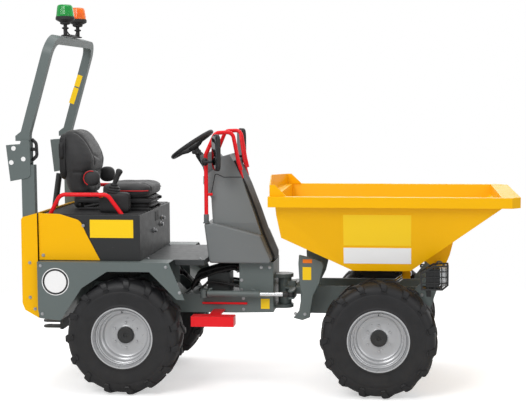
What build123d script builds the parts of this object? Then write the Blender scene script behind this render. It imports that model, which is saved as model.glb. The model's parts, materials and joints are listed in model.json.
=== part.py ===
from build123d import *
from math import atan2, cos, degrees, hypot, pi, radians, sin, sqrt
import os

os.makedirs("parts", exist_ok=True)

# Small articulated site dumper. Millimetres. X forward, Y left, Z up, floor at Z = 0.
# Side-view places are distances ahead of the rear axle; ahead() moves them to the machine's middle.

# --- stance ---
wheelbase = 1740
front_reach = 2676  # rear axle to the skip's lip
rear_reach = 796  # rear axle to the back edge of the hoop's folding brackets
rear_axle_x = (rear_reach - front_reach) / 2
front_axle_x = rear_axle_x + wheelbase
half_track = 470
running_gap = 0.5  # between faces that turn on each other
seat_gap = 0.3  # between a part and the one it is fastened to


def ahead(distance):
    """X of a place that lies this far ahead of the rear axle"""
    return rear_axle_x + distance


# --- wheels ---
tyre_radius = 398
hub_z = 380  # heights are taken from a plane a little above the ground, where the frame was set out
ground_step = tyre_radius - hub_z
tyre_half_width = 132
tyre_sides = 24
tread_radius = 374
tread_half_width = 112
sidewall_radius = 310
bead_radius = 196
bead_half_width = 112
lugs_per_side = 15
lug_width = 34
lug_slant = 30
flange_radius = 212
flange_half_width = 123
lip_thickness = 5
rim_dish_radius = 186
rim_well_radius = 160
rim_inner_radius = 176
disc_depth = 118  # flange face to the disc
disc_thickness = 12
hub_radius = 57
hub_stand_out = 24
hub_back_radius = 70
hub_back_length = 40

# --- rear unit ---
frame_half_width = 182
frame_plate = 12
frame_bottom_z = 486
frame_top_z = 700
neck_top_z = 618
frame_rear = -560
neck_rear = 330
pedestal_rear = 744
frame_front = 985
pedestal_top_z = 849

deck_z = 893
deck_plate = 8
guard_half_width = 560
guard_skin = 5
console_half_width = 490
console_wall = 6
console_front = 110
console_rear = -590
console_top_z = 1207
cover_wall = 8

cap_wall = 6
post_depth = 90
post_width = 56
post_rear = -696
post_outer_y = 511
cap_half_width = post_outer_y + seat_gap + cap_wall
post_top_z = 1550
beam_bottom_z = 620
beam_height = 80

footplate_front = 536
footplate_half_width = 400
footplate_skirt = 40

# --- centre joint ---
pivot = 1048
pivot_pin_radius = 25
pivot_top_z = 745
pivot_bottom_z = 500
ear_thickness = 25
ear_half_width = 62
barrel_radius = 48
swing_z = 635  # oscillation axis height
swing_shaft_radius = 42
swing_shaft_end = 1300

steer_z = 632
steer_y = 245
steer_rear_pin = 500
steer_front_pin = 1118
steer_barrel_radius = 24
steer_barrel_start = 60
steer_barrel_length = 340
steer_rod_radius = 12
steer_eye_radius = 22
steer_eye_height = 30
steer_pin_radius = 10
arm_thickness = 12

# --- front unit ---
front_frame_rear = 1190
front_frame_front = wheelbase + 340
front_frame_half_width = 182
front_frame_bottom_z = 490
front_frame_top_z = 684
tower_y = 300
tower_thickness = 20
bulkhead_thickness = 25
tip_pivot = wheelbase + 410
tip_pivot_z = 858
tip_bracket_y = 300
tip_bracket_thickness = 16
tip_pin_radius = 20

# --- skip ---
skip_floor_z = 830
skip_floor_rear = wheelbase - 180
skip_floor_front = wheelbase + 210
rim_top_z = 1349
rim_height = 70
rim_depth = 44
rim_half_width = 600
lip_depth = 120
rim_rear = 1000
skip_wall = 6
skip_floor_half_width = 410
skip_side_half_width = 560
guard_top_z = 1455
guard_corner_z = 1425
guard_bow = 50

# --- tip cylinder ---
tip_base = wheelbase - 300
tip_base_z = 400
tip_eye = wheelbase + 190
tip_eye_z = 752
tip_barrel_radius = 38
tip_barrel_length = 420
tip_rod_radius = 20
tip_eye_radius = 32
tip_eye_width = 40
tip_base_width = 88
tip_ear_thickness = 12
tip_ear_gap = 6

# --- hoop ---
hoop_y = 478
hoop_depth = 62
hoop_width = 54
hoop_foot_z = 1562
hoop_bend_z = 1760
hoop_top_z = 2400
hoop_foot = -665
hoop_top = -478
hoop_fold = -664
hoop_fold_z = 1686
bracket_plate = 8


def plate(outline, plane, thickness, mode=Mode.ADD):
    """adds a flat plate of the outline to the part in hand, thickness along the plane's normal"""
    with BuildSketch(plane) as face:
        with BuildLine():
            Polyline(*outline, close=True)
        make_face()
    extrude(face.sketch, amount=thickness, mode=mode)


def side_plate(outline, inner_y, thickness, mode=Mode.ADD):
    """adds a plate that stands along the machine on its right side, its inner face at inner_y from the middle"""
    plate([(ahead(x), z) for x, z in outline], Plane.XZ.offset(inner_y), thickness, mode)


def across(outline, half_width, mode=Mode.ADD):
    """adds a body of the side-view outline that runs right across, as wide on both sides"""
    plate([(ahead(x), z) for x, z in outline], Plane.XZ.offset(-half_width), 2 * half_width, mode)


def block(x, y, z, mode=Mode.ADD):
    """adds a box between two places on each axis, x ahead of the rear axle"""
    with BuildSketch(Plane.XY.offset(z[0])) as base:
        with Locations((ahead((x[0] + x[1]) / 2), (y[0] + y[1]) / 2)):
            Rectangle(x[1] - x[0], y[1] - y[0])
    extrude(base.sketch, amount=z[1] - z[0], mode=mode)


def rod(start, end, radius, mode=Mode.ADD):
    """adds a sixteen-sided bar, or cuts a round hole, between two places, x ahead of the rear axle"""
    low = Vector(ahead(start[0]), start[1], start[2])
    high = Vector(ahead(end[0]), end[1], end[2])
    with BuildSketch(Plane(origin=low, z_dir=high - low)) as section:
        if mode == Mode.ADD:
            RegularPolygon(radius, 16)
        else:
            Circle(radius)
    extrude(section.sketch, amount=(high - low).length, mode=mode)


def tube(route, bend, radius):
    """adds a bent round tube along the route's places, x ahead of the rear axle"""
    places = [(ahead(x), y, z) for x, y, z in route]
    with BuildLine() as path:
        FilletPolyline(*places, radius=bend)
    with BuildSketch(Plane(origin=path.line @ 0, z_dir=path.line % 0)) as section:
        RegularPolygon(radius, 8)
    sweep(section.sketch, path=path.line)


def faceted(sections, hub, sides, mode=Mode.ADD):
    """adds a many-sided round body on the hub's axle through sections of (radius, place along the axle)"""
    spokes = [hub.x_dir * cos(2 * pi * i / sides) + hub.z_dir * sin(2 * pi * i / sides) for i in range(sides)]
    rings = [[hub.origin + hub.y_dir * along + spoke * radius for spoke in spokes] for radius, along in sections]
    faces = [Face(Wire.make_polygon(rings[0])), Face(Wire.make_polygon(rings[-1]))]
    for low, high in zip(rings, rings[1:]):
        for i in range(sides):
            faces.append(Face(Wire.make_polygon([low[i - 1], low[i], high[i], high[i - 1]])))
    add(Solid(Shell(faces)), mode=mode)


def save(part, name):
    part = part.moved(Location((0, 0, ground_step)))
    part.label = name
    export_step(part, f"parts/{name}.step")


# --- wheels: one tyre and one rim on each corner ---

# name, axle's place ahead of the rear axle, side
corners = [("rear_right", 0, -1), ("rear_left", 0, 1), ("front_right", wheelbase, -1), ("front_left", wheelbase, 1)]


def hub_plane(place, side):
    """the wheel's section plane: local x out from the axle, local y out from the machine"""
    return Plane(origin=(ahead(place), side * half_track, hub_z), x_dir=(1, 0, 0), z_dir=(0, 0, side))


def turned(profile, hub):
    """adds a body turned about the hub's axle from its section"""
    with BuildSketch(hub) as section:
        with BuildLine():
            Polyline(*profile, close=True)
        make_face()
    revolve(section.sketch, axis=Axis(hub.origin, hub.y_dir))


disc_face = flange_half_width - disc_depth
disc_back = disc_face - disc_thickness
hub_inner_y = half_track + disc_back - hub_back_length  # where the axle's end stops

carcass = [
    (bead_radius - 6, bead_half_width - 4),
    (flange_radius + 4, flange_half_width + 2),
    (sidewall_radius, tyre_half_width),
    (tread_radius, tread_half_width),
]


def crown(along):
    """the lug's top height at a distance along it, so that its corners stay within the tyre's radius"""
    turn = radians(lug_slant)
    return sqrt(tyre_radius**2 - (abs(along) * sin(turn) + lug_width / 2 * cos(turn)) ** 2)


lug_end = 122
lug_outline = [
    (-14, tread_radius - 18), (-14, crown(-14)), (lug_end, crown(lug_end)), (lug_end + 26, 340),
    (lug_end - 4, 334), (90, tread_radius - 18),
]


def lug(hub, angle, half):
    """adds one slanted tread bar from the tyre's middle down one shoulder; half is 1 outside, -1 inside"""
    out = hub.x_dir * cos(radians(angle)) - hub.z_dir * sin(radians(angle))
    along = hub.y_dir * half
    turn = along.cross(out) * half
    run = along * cos(radians(lug_slant)) - turn * sin(radians(lug_slant))
    middle = Plane(origin=hub.origin, x_dir=run, z_dir=run.cross(out))
    with BuildSketch(middle) as bar:
        with BuildLine():
            Polyline(*lug_outline, close=True)
        make_face()
    extrude(bar.sketch, amount=lug_width / 2, both=True)


# a right-hand tyre and rim about the origin's hub, then one on each corner
model_hub = Plane(origin=(0, 0, 0), x_dir=(1, 0, 0), z_dir=(0, 0, -1))
pitch = 360 / lugs_per_side
end_turn = lug_end * sin(radians(lug_slant)) + lug_width / 2 * cos(radians(lug_slant))
first_lug = degrees(atan2(end_turn, crown(lug_end))) - 90  # a lug's end stands on the ground
with BuildPart() as tyre_model:
    faceted(carcass + [(r, -w) for r, w in reversed(carcass)], model_hub, tyre_sides)
    faceted([(bead_radius, -tyre_half_width - 1), (bead_radius, tyre_half_width + 1)], model_hub, tyre_sides, Mode.SUBTRACT)
    for count in range(lugs_per_side):
        lug(model_hub, first_lug + count * pitch, 1)
        lug(model_hub, first_lug + (count + 0.5) * pitch, -1)

with BuildPart() as rim_model:
    drum = [
        (flange_radius - 4, flange_half_width + lip_thickness),
        (flange_radius, flange_half_width),
        (bead_radius - 1, bead_half_width + 1),
        (bead_radius - 1, -bead_half_width - 1),
        (flange_radius, -flange_half_width),
        (flange_radius - 4, -flange_half_width - lip_thickness),
    ]
    faceted(drum, model_hub, tyre_sides)
    dish = [
        (flange_radius - 8, flange_half_width + lip_thickness + 1),
        (rim_dish_radius, bead_half_width - 6),
        (rim_well_radius, disc_face + 44),
        (rim_well_radius - 2, disc_face),
    ]
    faceted(dish, model_hub, tyre_sides, Mode.SUBTRACT)
    back = [(rim_inner_radius, disc_back), (rim_dish_radius, -flange_half_width - lip_thickness - 1)]
    faceted(back, model_hub, tyre_sides, Mode.SUBTRACT)
    faceted([(hub_radius, disc_face - 1), (hub_radius, disc_face + hub_stand_out)], model_hub, 16)
    faceted([(hub_back_radius, disc_back + 1), (hub_back_radius, disc_back - hub_back_length)], model_hub, 16)

for corner, place, side in corners:
    spot = Location((ahead(place), side * half_track, hub_z))
    for name, model in (("tyre", tyre_model), ("rim", rim_model)):
        with BuildPart() as wheel_piece:
            add((model.part if side < 0 else mirror(model.part, about=Plane.XZ, mode=Mode.PRIVATE)).moved(spot))
        save(wheel_piece.part, f"{name}_{corner}")

# --- axles: a casing between the hubs with a swollen middle and two pads under the frame ---

axle_radius = 46
axle_middle_radius = 88
axle_middle_half = 105
axle_flange_radius = 64
axle_flange = 30
pad_length = 110
pad_width = 60


def axle(place, frame_bottom, frame_side):
    """adds a rigid axle casing under the frame's side plates"""
    end = hub_inner_y - running_gap
    half_casing = [
        (axle_middle_radius, axle_middle_half - 30),
        (axle_radius, axle_middle_half + 30),
        (axle_radius, end - axle_flange),
        (axle_flange_radius, end - axle_flange + 8),
        (axle_flange_radius, end),
    ]
    middle = Plane(origin=(ahead(place), 0, hub_z), x_dir=(1, 0, 0), z_dir=(0, 0, 1))
    faceted([(r, -w) for r, w in reversed(half_casing)] + half_casing, middle, 16)
    inner = frame_side - pad_width
    for low_y, high_y in ((-frame_side, -inner), (inner, frame_side)):
        block((place - pad_length / 2, place + pad_length / 2), (low_y, high_y), (hub_z, frame_bottom))


with BuildPart() as rear_axle:
    axle(0, frame_bottom_z, frame_half_width)
save(rear_axle.part, "rear_axle")

with BuildPart() as front_axle:
    axle(wheelbase, front_frame_bottom_z, front_frame_half_width)
save(front_axle.part, "front_axle")

# --- rear chassis: two side plates, floor and neck plates, pedestal and the pivot's ears ---

chassis_side = [
    (frame_rear, frame_top_z),
    (neck_rear - 60, frame_top_z),
    (neck_rear + 30, neck_top_z),
    (pedestal_rear, neck_top_z),
    (pedestal_rear, pedestal_top_z),
    (frame_front, pedestal_top_z),
    (frame_front, frame_bottom_z + 6),
    (pedestal_rear - 30, frame_bottom_z),
    (-300, frame_bottom_z),
    (frame_rear, frame_bottom_z + 74),
]
frame_inner_y = frame_half_width - frame_plate
with BuildPart() as rear_chassis:
    side_plate(chassis_side, frame_inner_y, frame_plate)
    mirror(about=Plane.XZ)
    block((-300, frame_front), (-frame_inner_y, frame_inner_y), (frame_bottom_z + 6, frame_bottom_z + 18))
    block((neck_rear + 30, pedestal_rear), (-frame_inner_y, frame_inner_y), (neck_top_z - 14, neck_top_z - 4))
    for x in (frame_rear, -180, neck_rear, pedestal_rear, frame_front - frame_plate):
        top = pedestal_top_z if x >= pedestal_rear else neck_top_z
        block((x, x + frame_plate), (-frame_inner_y, frame_inner_y), (frame_bottom_z + 80, top - 4))
    block((frame_front - 12, frame_front), (-frame_inner_y, frame_inner_y), (frame_bottom_z + 6, pedestal_top_z - 4))
    for low in (pivot_bottom_z, pivot_top_z - ear_thickness):
        block((frame_front - 2, pivot), (-ear_half_width, ear_half_width), (low, low + ear_thickness))
        rod((pivot, 0, low), (pivot, 0, low + ear_thickness), ear_half_width)
    rod((pivot, 0, pivot_bottom_z), (pivot, 0, pivot_top_z), pivot_pin_radius)
    # brackets of the steering cylinders' rear pins
    for side in (-1, 1):
        for z in (steer_z - steer_eye_height / 2 - seat_gap - arm_thickness, steer_z + steer_eye_height / 2 + seat_gap):
            low_y, high_y = sorted((side * (frame_half_width - 2), side * steer_y))
            block((steer_rear_pin - 24, steer_rear_pin + 24), (low_y, high_y), (z, z + arm_thickness))
            rod((steer_rear_pin, side * steer_y, z), (steer_rear_pin, side * steer_y, z + arm_thickness), 24)
        rod(
            (steer_rear_pin, side * steer_y, steer_z - 30),
            (steer_rear_pin, side * steer_y, steer_z + 30),
            steer_pin_radius,
        )
save(rear_chassis.part, "rear_chassis")

# --- mudguards: outer skirt, arch liner and deck ---

arch = [(371, 641), (186, 829), (-105, 829), (-282, 714), (-432, 490)]
skirt = [(-586, deck_z), (320, deck_z), (426, 640)] + arch + [(-573, 504), (-586, 560)]
liner = arch + [(x, z + guard_skin) for x, z in reversed(arch)]
with BuildPart() as right_guard:
    side_plate(skirt, guard_half_width - guard_skin, guard_skin)
    liner_inner_y = frame_half_width + seat_gap
    side_plate(liner, liner_inner_y, guard_half_width - guard_skin - liner_inner_y)
    deck = (-(guard_half_width - guard_skin), -liner_inner_y)
    block((-586, 320), deck, (deck_z - guard_skin, deck_z))
    side_plate([(-400, 640), (320, 640), (320, deck_z), (-400, deck_z)], liner_inner_y, guard_skin)
    plate_corner = (console_front - 1, 321)
    block(plate_corner, (-footplate_half_width - seat_gap, 0), (deck_z - deck_plate - seat_gap, deck_z + 1), Mode.SUBTRACT)
    side_plate(arch + [(371, 480)], liner_inner_y - 1, guard_skin + 2, Mode.SUBTRACT)
save(right_guard.part, "mudguard_right")
with BuildPart() as left_guard:
    add(mirror(right_guard.part, about=Plane.XZ))
save(left_guard.part, "mudguard_left")

# --- rear cap ---

cap_outline = [(-594, 497), (-690, 553), (-708, 600), (-704, 1178), (-692, 1194), (-594, 1221)]
cap_inside = [(-580, 504), (-687, 560), (-702, 602), (-698, 1175), (-688, 1188), (-580, 1215)]
with BuildPart() as rear_cap:
    across(cap_outline, cap_half_width)
    across(cap_inside, cap_half_width - cap_wall, Mode.SUBTRACT)
    for side in (-1, 1):
        low_y, high_y = sorted((side * (post_outer_y - post_width - 3), side * post_outer_y))
        block((post_rear - 3, post_rear + post_depth + 20), (low_y, high_y), (1100, 1300), Mode.SUBTRACT)
save(rear_cap.part, "rear_cap")

# --- engine ---

with BuildPart() as engine:
    block((-480, -40), (-178, 178), (frame_top_z + seat_gap, 1120))
save(engine.part, "engine")

# --- seat console with its side covers ---

with BuildPart() as console:
    low, high = deck_z + seat_gap, console_top_z
    block((console_rear, console_front), (-console_half_width, console_half_width), (low, high))
    inner = console_half_width - console_wall
    block((console_rear - 1, console_front - console_wall), (-inner, inner), (low - 1, high - console_wall), Mode.SUBTRACT)
save(console.part, "seat_console")

cover_edge = [(-465, 1219), (-411, 1200), (-314, 1157), (-266, 1083), (-166, 897)]
cover_y = console_half_width + seat_gap
with BuildPart() as side_covers:
    side_plate(cover_edge + [(-590, 897), (-590, 1219)], cover_y, cover_wall)
    mirror(about=Plane.XZ)
save(side_covers.part, "side_covers")

# --- footplate ---

with BuildPart() as footplate:
    half = footplate_half_width
    block((console_front - 0.7, footplate_front), (-half, half), (deck_z - deck_plate, deck_z))
    for side in (-1, 1):
        low_y, high_y = sorted((side * half, side * (half - deck_plate)))
        block((330, footplate_front), (low_y, high_y), (deck_z - footplate_skirt, deck_z))
    block((footplate_front - deck_plate, footplate_front), (-half, half), (deck_z - footplate_skirt, deck_z))
save(footplate.part, "footplate")

# --- dash: wide foot and slim upper part ---

wheel_x, wheel_z = 384, 1670  # steering wheel's centre
wheel_tilt = 34
lean = Vector(-sin(radians(wheel_tilt)), 0, cos(radians(wheel_tilt)))
column_length = 240


def on_column(distance, side_step=0):
    """a side-view place down the steering column from the wheel's centre"""
    x = wheel_x - lean.X * distance + lean.Z * side_step
    z = wheel_z - lean.Z * distance - lean.X * side_step
    return (x, z)


dash_foot_half = 260
with BuildPart() as dash_lower:
    across([(508, 1129), (592, 1129), (905, 1046), (975, 880), (975, pedestal_top_z + seat_gap), (543, pedestal_top_z + seat_gap)], dash_foot_half)
save(dash_lower.part, "dash_lower")

dash_half_low, dash_half_top = 200, 130
with BuildPart() as dash_upper:
    seam = [(905, 1046 + seat_gap), (592, 1129 + seat_gap), (562, 1129 + seat_gap)]
    back = [(548, 1300), (490, 1400), on_column(column_length, -35), on_column(column_length, 60)]
    front = [(615, 1590), (672, 1605), (705, 1555), (760, 1450), (783, 1380), (850, 1205)]
    across(seam + back + front, dash_half_low)
    with BuildSketch(Plane.YZ.offset(ahead(400))) as flanks:
        with BuildLine():
            Polyline(
                (-dash_half_low, 1040), (dash_half_low, 1040), (dash_half_low, 1130),
                (dash_half_top, 1610), (-dash_half_top, 1610), (-dash_half_low, 1130), close=True,
            )
        make_face()
    extrude(flanks.sketch, amount=600, mode=Mode.INTERSECT)
save(dash_upper.part, "dash_upper")

column_radius = 26
with BuildPart() as column:
    foot_x, foot_z = on_column(column_length - seat_gap)
    head_x, head_z = on_column(34)
    rod((foot_x, 0, foot_z), (head_x, 0, head_z), column_radius)
save(column.part, "steering_column")

steer_ring_radius = 178
steer_tube_radius = 13
with BuildPart() as steering_wheel:
    centre = (ahead(wheel_x), 0, wheel_z)
    facing = Plane(origin=centre, x_dir=(0, 1, 0), z_dir=lean)
    with BuildSketch(Plane(origin=centre, x_dir=(0, 1, 0), z_dir=(lean.Z, 0, -lean.X))) as ring:
        with Locations((steer_ring_radius - steer_tube_radius, 0)):
            RegularPolygon(steer_tube_radius, 6)
    revolve(ring.sketch, axis=Axis(centre, lean))
    with BuildSketch(facing.offset(-33)) as boss:
        Circle(34)
    extrude(boss.sketch, amount=30)
    with BuildSketch(facing.offset(-12)) as spokes:
        for angle in (0, 120, 240):
            with Locations(Location((0, 0), angle - 90)):
                Rectangle(steer_ring_radius - 8, 26, align=(Align.MIN, Align.CENTER))
    extrude(spokes.sketch, amount=8)
save(steering_wheel.part, "steering_wheel")

# --- red rails ---

rail_radius = 14
with BuildPart() as dash_rails:
    route = [
        (524, -240, 1129 + seat_gap), (524, -240, 1610), (590, -225, 1760), (705, -190, 1765), (742, -175, 1560),
    ]
    tube(route, 45, rail_radius)
    rod((742, -175, 1562), (758, -160, 1500), rail_radius)
    mirror(about=Plane.XZ)
save(dash_rails.part, "dash_rails")

with BuildPart() as grab_rails:
    low = console_top_z - 15
    tube([(-533, -430, low), (-455, -430, 1342), (-125, -430, 1342), (-20, -430, low)], 60, rail_radius)
    block((-560, 20), (-460, -400), (low - 40, console_top_z + seat_gap), Mode.SUBTRACT)
    mirror(about=Plane.XZ)
save(grab_rails.part, "grab_rails")

with BuildPart() as mirrors:
    with BuildSketch(Plane.YZ.offset(ahead(580))) as glass:
        with Locations((-350, 1637)):
            RectangleRounded(150, 234, 40)
    extrude(glass.sketch, amount=45)
    rod((524, -240 - rail_radius - seat_gap, 1560), (524, -345, 1560), 10)
    rod((524, -345, 1560), (590, -345, 1560), 10)
    mirror(about=Plane.XZ)
save(mirrors.part, "mirrors")

exhaust_y = 100
exhaust_radius = 22
with BuildPart() as exhaust:
    rod((-668, exhaust_y, 1150), (-622, exhaust_y, 1450), exhaust_radius)
    across([(-800, 1100), (-800, 1164.5), (-692, 1194 + seat_gap), (-594, 1221 + seat_gap), (-500, 1247), (-500, 1100)], 300, Mode.SUBTRACT)
save(exhaust.part, "exhaust_pipe")

# --- seat ---

with BuildPart() as seat_base:
    block((-330, 90), (-200, 200), (console_top_z + seat_gap, 1250))
    block((-250, 110), (-180, 180), (1250, 1304))
save(seat_base.part, "seat_base")

with BuildPart() as seat_cushion:
    block((-245, 165), (-245, 245), (1304 + seat_gap, 1400))
save(seat_cushion.part, "seat_cushion")

back_outline = [(-508, 1772), (-403, 1767), (-345, 1735), (-208, 1523), (-247, 1410), (-250, 1304 + seat_gap), (-464, 1304 + seat_gap), (-485, 1575), (-517, 1718)]
with BuildPart() as seat_back:
    across(back_outline, 240)
save(seat_back.part, "seat_back")

with BuildPart() as control_box:
    block((-200, 0), (-370, -290), (console_top_z + seat_gap, 1320))
    rod((-90, -330, 1320), (-75, -330, 1400), 30)
    rod((-78, -330, 1395), (-62, -330, 1486), 20)
save(control_box.part, "joystick_box")

# --- step, lock bar, tow coupling, lamps, hoses, valve block ---

with BuildPart() as steps:
    block((455, 750), (-500, -400), (446, 516))
    block((560, 640), (-402, -frame_half_width - seat_gap), (500, 512))
    mirror(about=Plane.XZ)
save(steps.part, "steps")

with BuildPart() as lock_bar:
    y = -frame_half_width - seat_gap
    block((480, 800), (y - 12, y), (548, 562))
save(lock_bar.part, "lock_bar")

hitch_pin = -690
with BuildPart() as tow_hitch:
    across([(frame_rear - seat_gap, 600), (frame_rear - seat_gap, 330), (-582, 330), (-582, 600)], 90)
    for low in (330, 372):
        block((hitch_pin, -580), (-40, 40), (low, low + 14))
        rod((hitch_pin, 0, low), (hitch_pin, 0, low + 14), 40)
        rod((hitch_pin, 0, low), (hitch_pin, 0, low + 14), 16, Mode.SUBTRACT)
save(tow_hitch.part, "tow_hitch")

with BuildPart() as rear_lamps:
    block((-708 - seat_gap - 30, -708 - seat_gap), (-480, -380), (640, 700))
    mirror(about=Plane.XZ)
save(rear_lamps.part, "rear_lamps")

with BuildPart() as valve_block:
    block((500, 660), (-90, 90), (neck_top_z - 4 + seat_gap, 760))
save(valve_block.part, "valve_block")

hose_radius = 11
with BuildPart() as hoses:
    for y, rise in ((-120, 0), (-40, 25), (40, 10), (120, 30)):
        route = [(430, y, neck_top_z - 4 + seat_gap), (430, y, 785 + rise), (pedestal_rear - seat_gap, y, 785 + rise)]
        tube(route, 60, hose_radius)
save(hoses.part, "hoses")

# --- roll-over posts and folding hoop ---

with BuildPart() as posts:
    for side in (-1, 1):
        low_y, high_y = sorted((side * post_outer_y, side * (post_outer_y - post_width)))
        block((post_rear, post_rear + post_depth), (low_y, high_y), (beam_bottom_z, post_top_z))
        # folding bracket: two plates that take the hoop's foot between them
        outline = [(-796, 1684), (-700, 1690), (-690, 1716), (-640, 1716), (-630, 1700), (-630, 1480), (-647, 1461), (-771, 1438)]
        for face in (post_outer_y, post_outer_y - post_width - bracket_plate):
            near, far = sorted((side * face, side * (face + bracket_plate)))
            plate([(ahead(x), z) for x, z in outline], Plane.XZ.offset(-near), -bracket_plate)
    inner = post_outer_y - post_width
    block((post_rear, frame_rear - seat_gap), (-inner, inner), (beam_bottom_z, beam_bottom_z + beam_height))
    for side in (-1, 1):
        inner_face = side * (post_outer_y - post_width - bracket_plate)
        rod((hoop_fold, inner_face, hoop_fold_z), (hoop_fold, side * (post_outer_y + bracket_plate), hoop_fold_z), 12)
save(posts.part, "rops_posts")

leg_top = (hoop_top, hoop_top_z)
with BuildPart() as hoop:
    points = [
        (ahead(hoop_foot), -hoop_y - 5, hoop_foot_z), (ahead(hoop_foot), -hoop_y - 5, hoop_bend_z),
        (ahead(hoop_top), -hoop_y - 5, hoop_top_z), (ahead(hoop_top), hoop_y + 5, hoop_top_z),
        (ahead(hoop_foot), hoop_y + 5, hoop_bend_z), (ahead(hoop_foot), hoop_y + 5, hoop_foot_z),
    ]
    with BuildLine() as path:
        FilletPolyline(*points, radius=[150, 110, 110, 150])
    with BuildSketch(Plane(origin=points[0], x_dir=(1, 0, 0), z_dir=(0, 0, 1))) as section:
        Rectangle(hoop_depth, hoop_width)
    sweep(section.sketch, path=path.line)
    for side in (-1, 1):
        y = side * (hoop_y + 5)
        low_y, high_y = y - hoop_width / 2, y + hoop_width / 2
        back = [(hoop_foot - 66, 1712), (hoop_foot - 66, 1746), (hoop_foot - 10, 1790), (hoop_foot, 1712)]
        plate([(ahead(x), z) for x, z in back], Plane.XZ.offset(-high_y), hoop_width)
        rod((hoop_fold, low_y - 1, hoop_fold_z), (hoop_fold, high_y + 1, hoop_fold_z), 12 + running_gap, Mode.SUBTRACT)
save(hoop.part, "rops_hoop")

# --- beacons on the hoop ---

beacon_y = 150
hoop_crown = 34  # the leaning tube's top above its middle
beacon_foot_z = 2519
with BuildPart() as beacon_bracket:
    top = hoop_top_z + hoop_crown + seat_gap
    block((hoop_top - 20, hoop_top + 20), (-beacon_y - 20, beacon_y + 20), (top, top + 12))
    for y in (-beacon_y, beacon_y):
        rod((hoop_top, y, top + 12), (hoop_top, y, beacon_foot_z), 16)
save(beacon_bracket.part, "beacon_bracket")

for name, y in (("beacon_green", -beacon_y), ("beacon_amber", beacon_y)):
    with BuildPart() as beacon:
        rod((hoop_top, y, beacon_foot_z + seat_gap), (hoop_top, y, beacon_foot_z + 60), 66)
        rod((hoop_top, y, beacon_foot_z + 60), (hoop_top, y, beacon_foot_z + 135), 60)
    save(beacon.part, name)

# --- centre yoke ---

yoke_low = pivot_bottom_z + ear_thickness + running_gap
yoke_high = pivot_top_z - ear_thickness - running_gap
with BuildPart() as yoke:
    rod((pivot, 0, yoke_low), (pivot, 0, yoke_high), barrel_radius)
    block((pivot, pivot + 80), (-40, 40), (swing_z - 60, swing_z + 60))
    rod((pivot, 0, swing_z), (swing_shaft_end, 0, swing_z), swing_shaft_radius)
    for z in (steer_z - steer_eye_height / 2 - 3 - arm_thickness, steer_z + steer_eye_height / 2 + 3):
        arm = [
            (pivot, -90), (pivot + 52, -150), (pivot + 52, -steer_y), (steer_front_pin + 22, -steer_y),
            (steer_front_pin + 22, -150), (pivot + 70, -40),
        ]
        plate([(ahead(x), y) for x, y in arm + [(x, -y) for x, y in reversed(arm)]], Plane.XY.offset(z), arm_thickness)
        for side in (-1, 1):
            rod((steer_front_pin, side * steer_y, z), (steer_front_pin, side * steer_y, z + arm_thickness), 22)
    rod((pivot, 0, yoke_low - 1), (pivot, 0, yoke_high + 1), pivot_pin_radius + running_gap, Mode.SUBTRACT)
save(yoke.part, "centre_yoke")

# --- steering cylinders ---

for name, side in (("right", -1), ("left", 1)):
    y = side * steer_y
    barrel_start = steer_rear_pin + steer_barrel_start
    barrel_end = barrel_start + steer_barrel_length
    with BuildPart() as barrel:
        rod((steer_rear_pin, y, steer_z), (barrel_start, y, steer_z), 14)
        rod((barrel_start, y, steer_z), (barrel_end, y, steer_z), steer_barrel_radius)
        low, high = steer_z - steer_eye_height / 2, steer_z + steer_eye_height / 2
        rod((steer_rear_pin, y, low), (steer_rear_pin, y, high), steer_eye_radius)
        rod((steer_rear_pin, y, low - 1), (steer_rear_pin, y, high + 1), steer_pin_radius + running_gap, Mode.SUBTRACT)
        rod((steer_rear_pin + steer_barrel_start + 20, y, steer_z), (barrel_end + 1, y, steer_z), steer_rod_radius + running_gap, Mode.SUBTRACT)
    save(barrel.part, f"steer_barrel_{name}")
    with BuildPart() as piston:
        rod((barrel_start + 190, y, steer_z), (steer_front_pin, y, steer_z), steer_rod_radius)
        rod((steer_front_pin, y, low), (steer_front_pin, y, high), steer_eye_radius)
        rod((steer_front_pin, y, low - 1), (steer_front_pin, y, high + 1), steer_pin_radius, Mode.SUBTRACT)
    save(piston.part, f"steer_rod_{name}")

# --- front chassis ---

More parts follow.
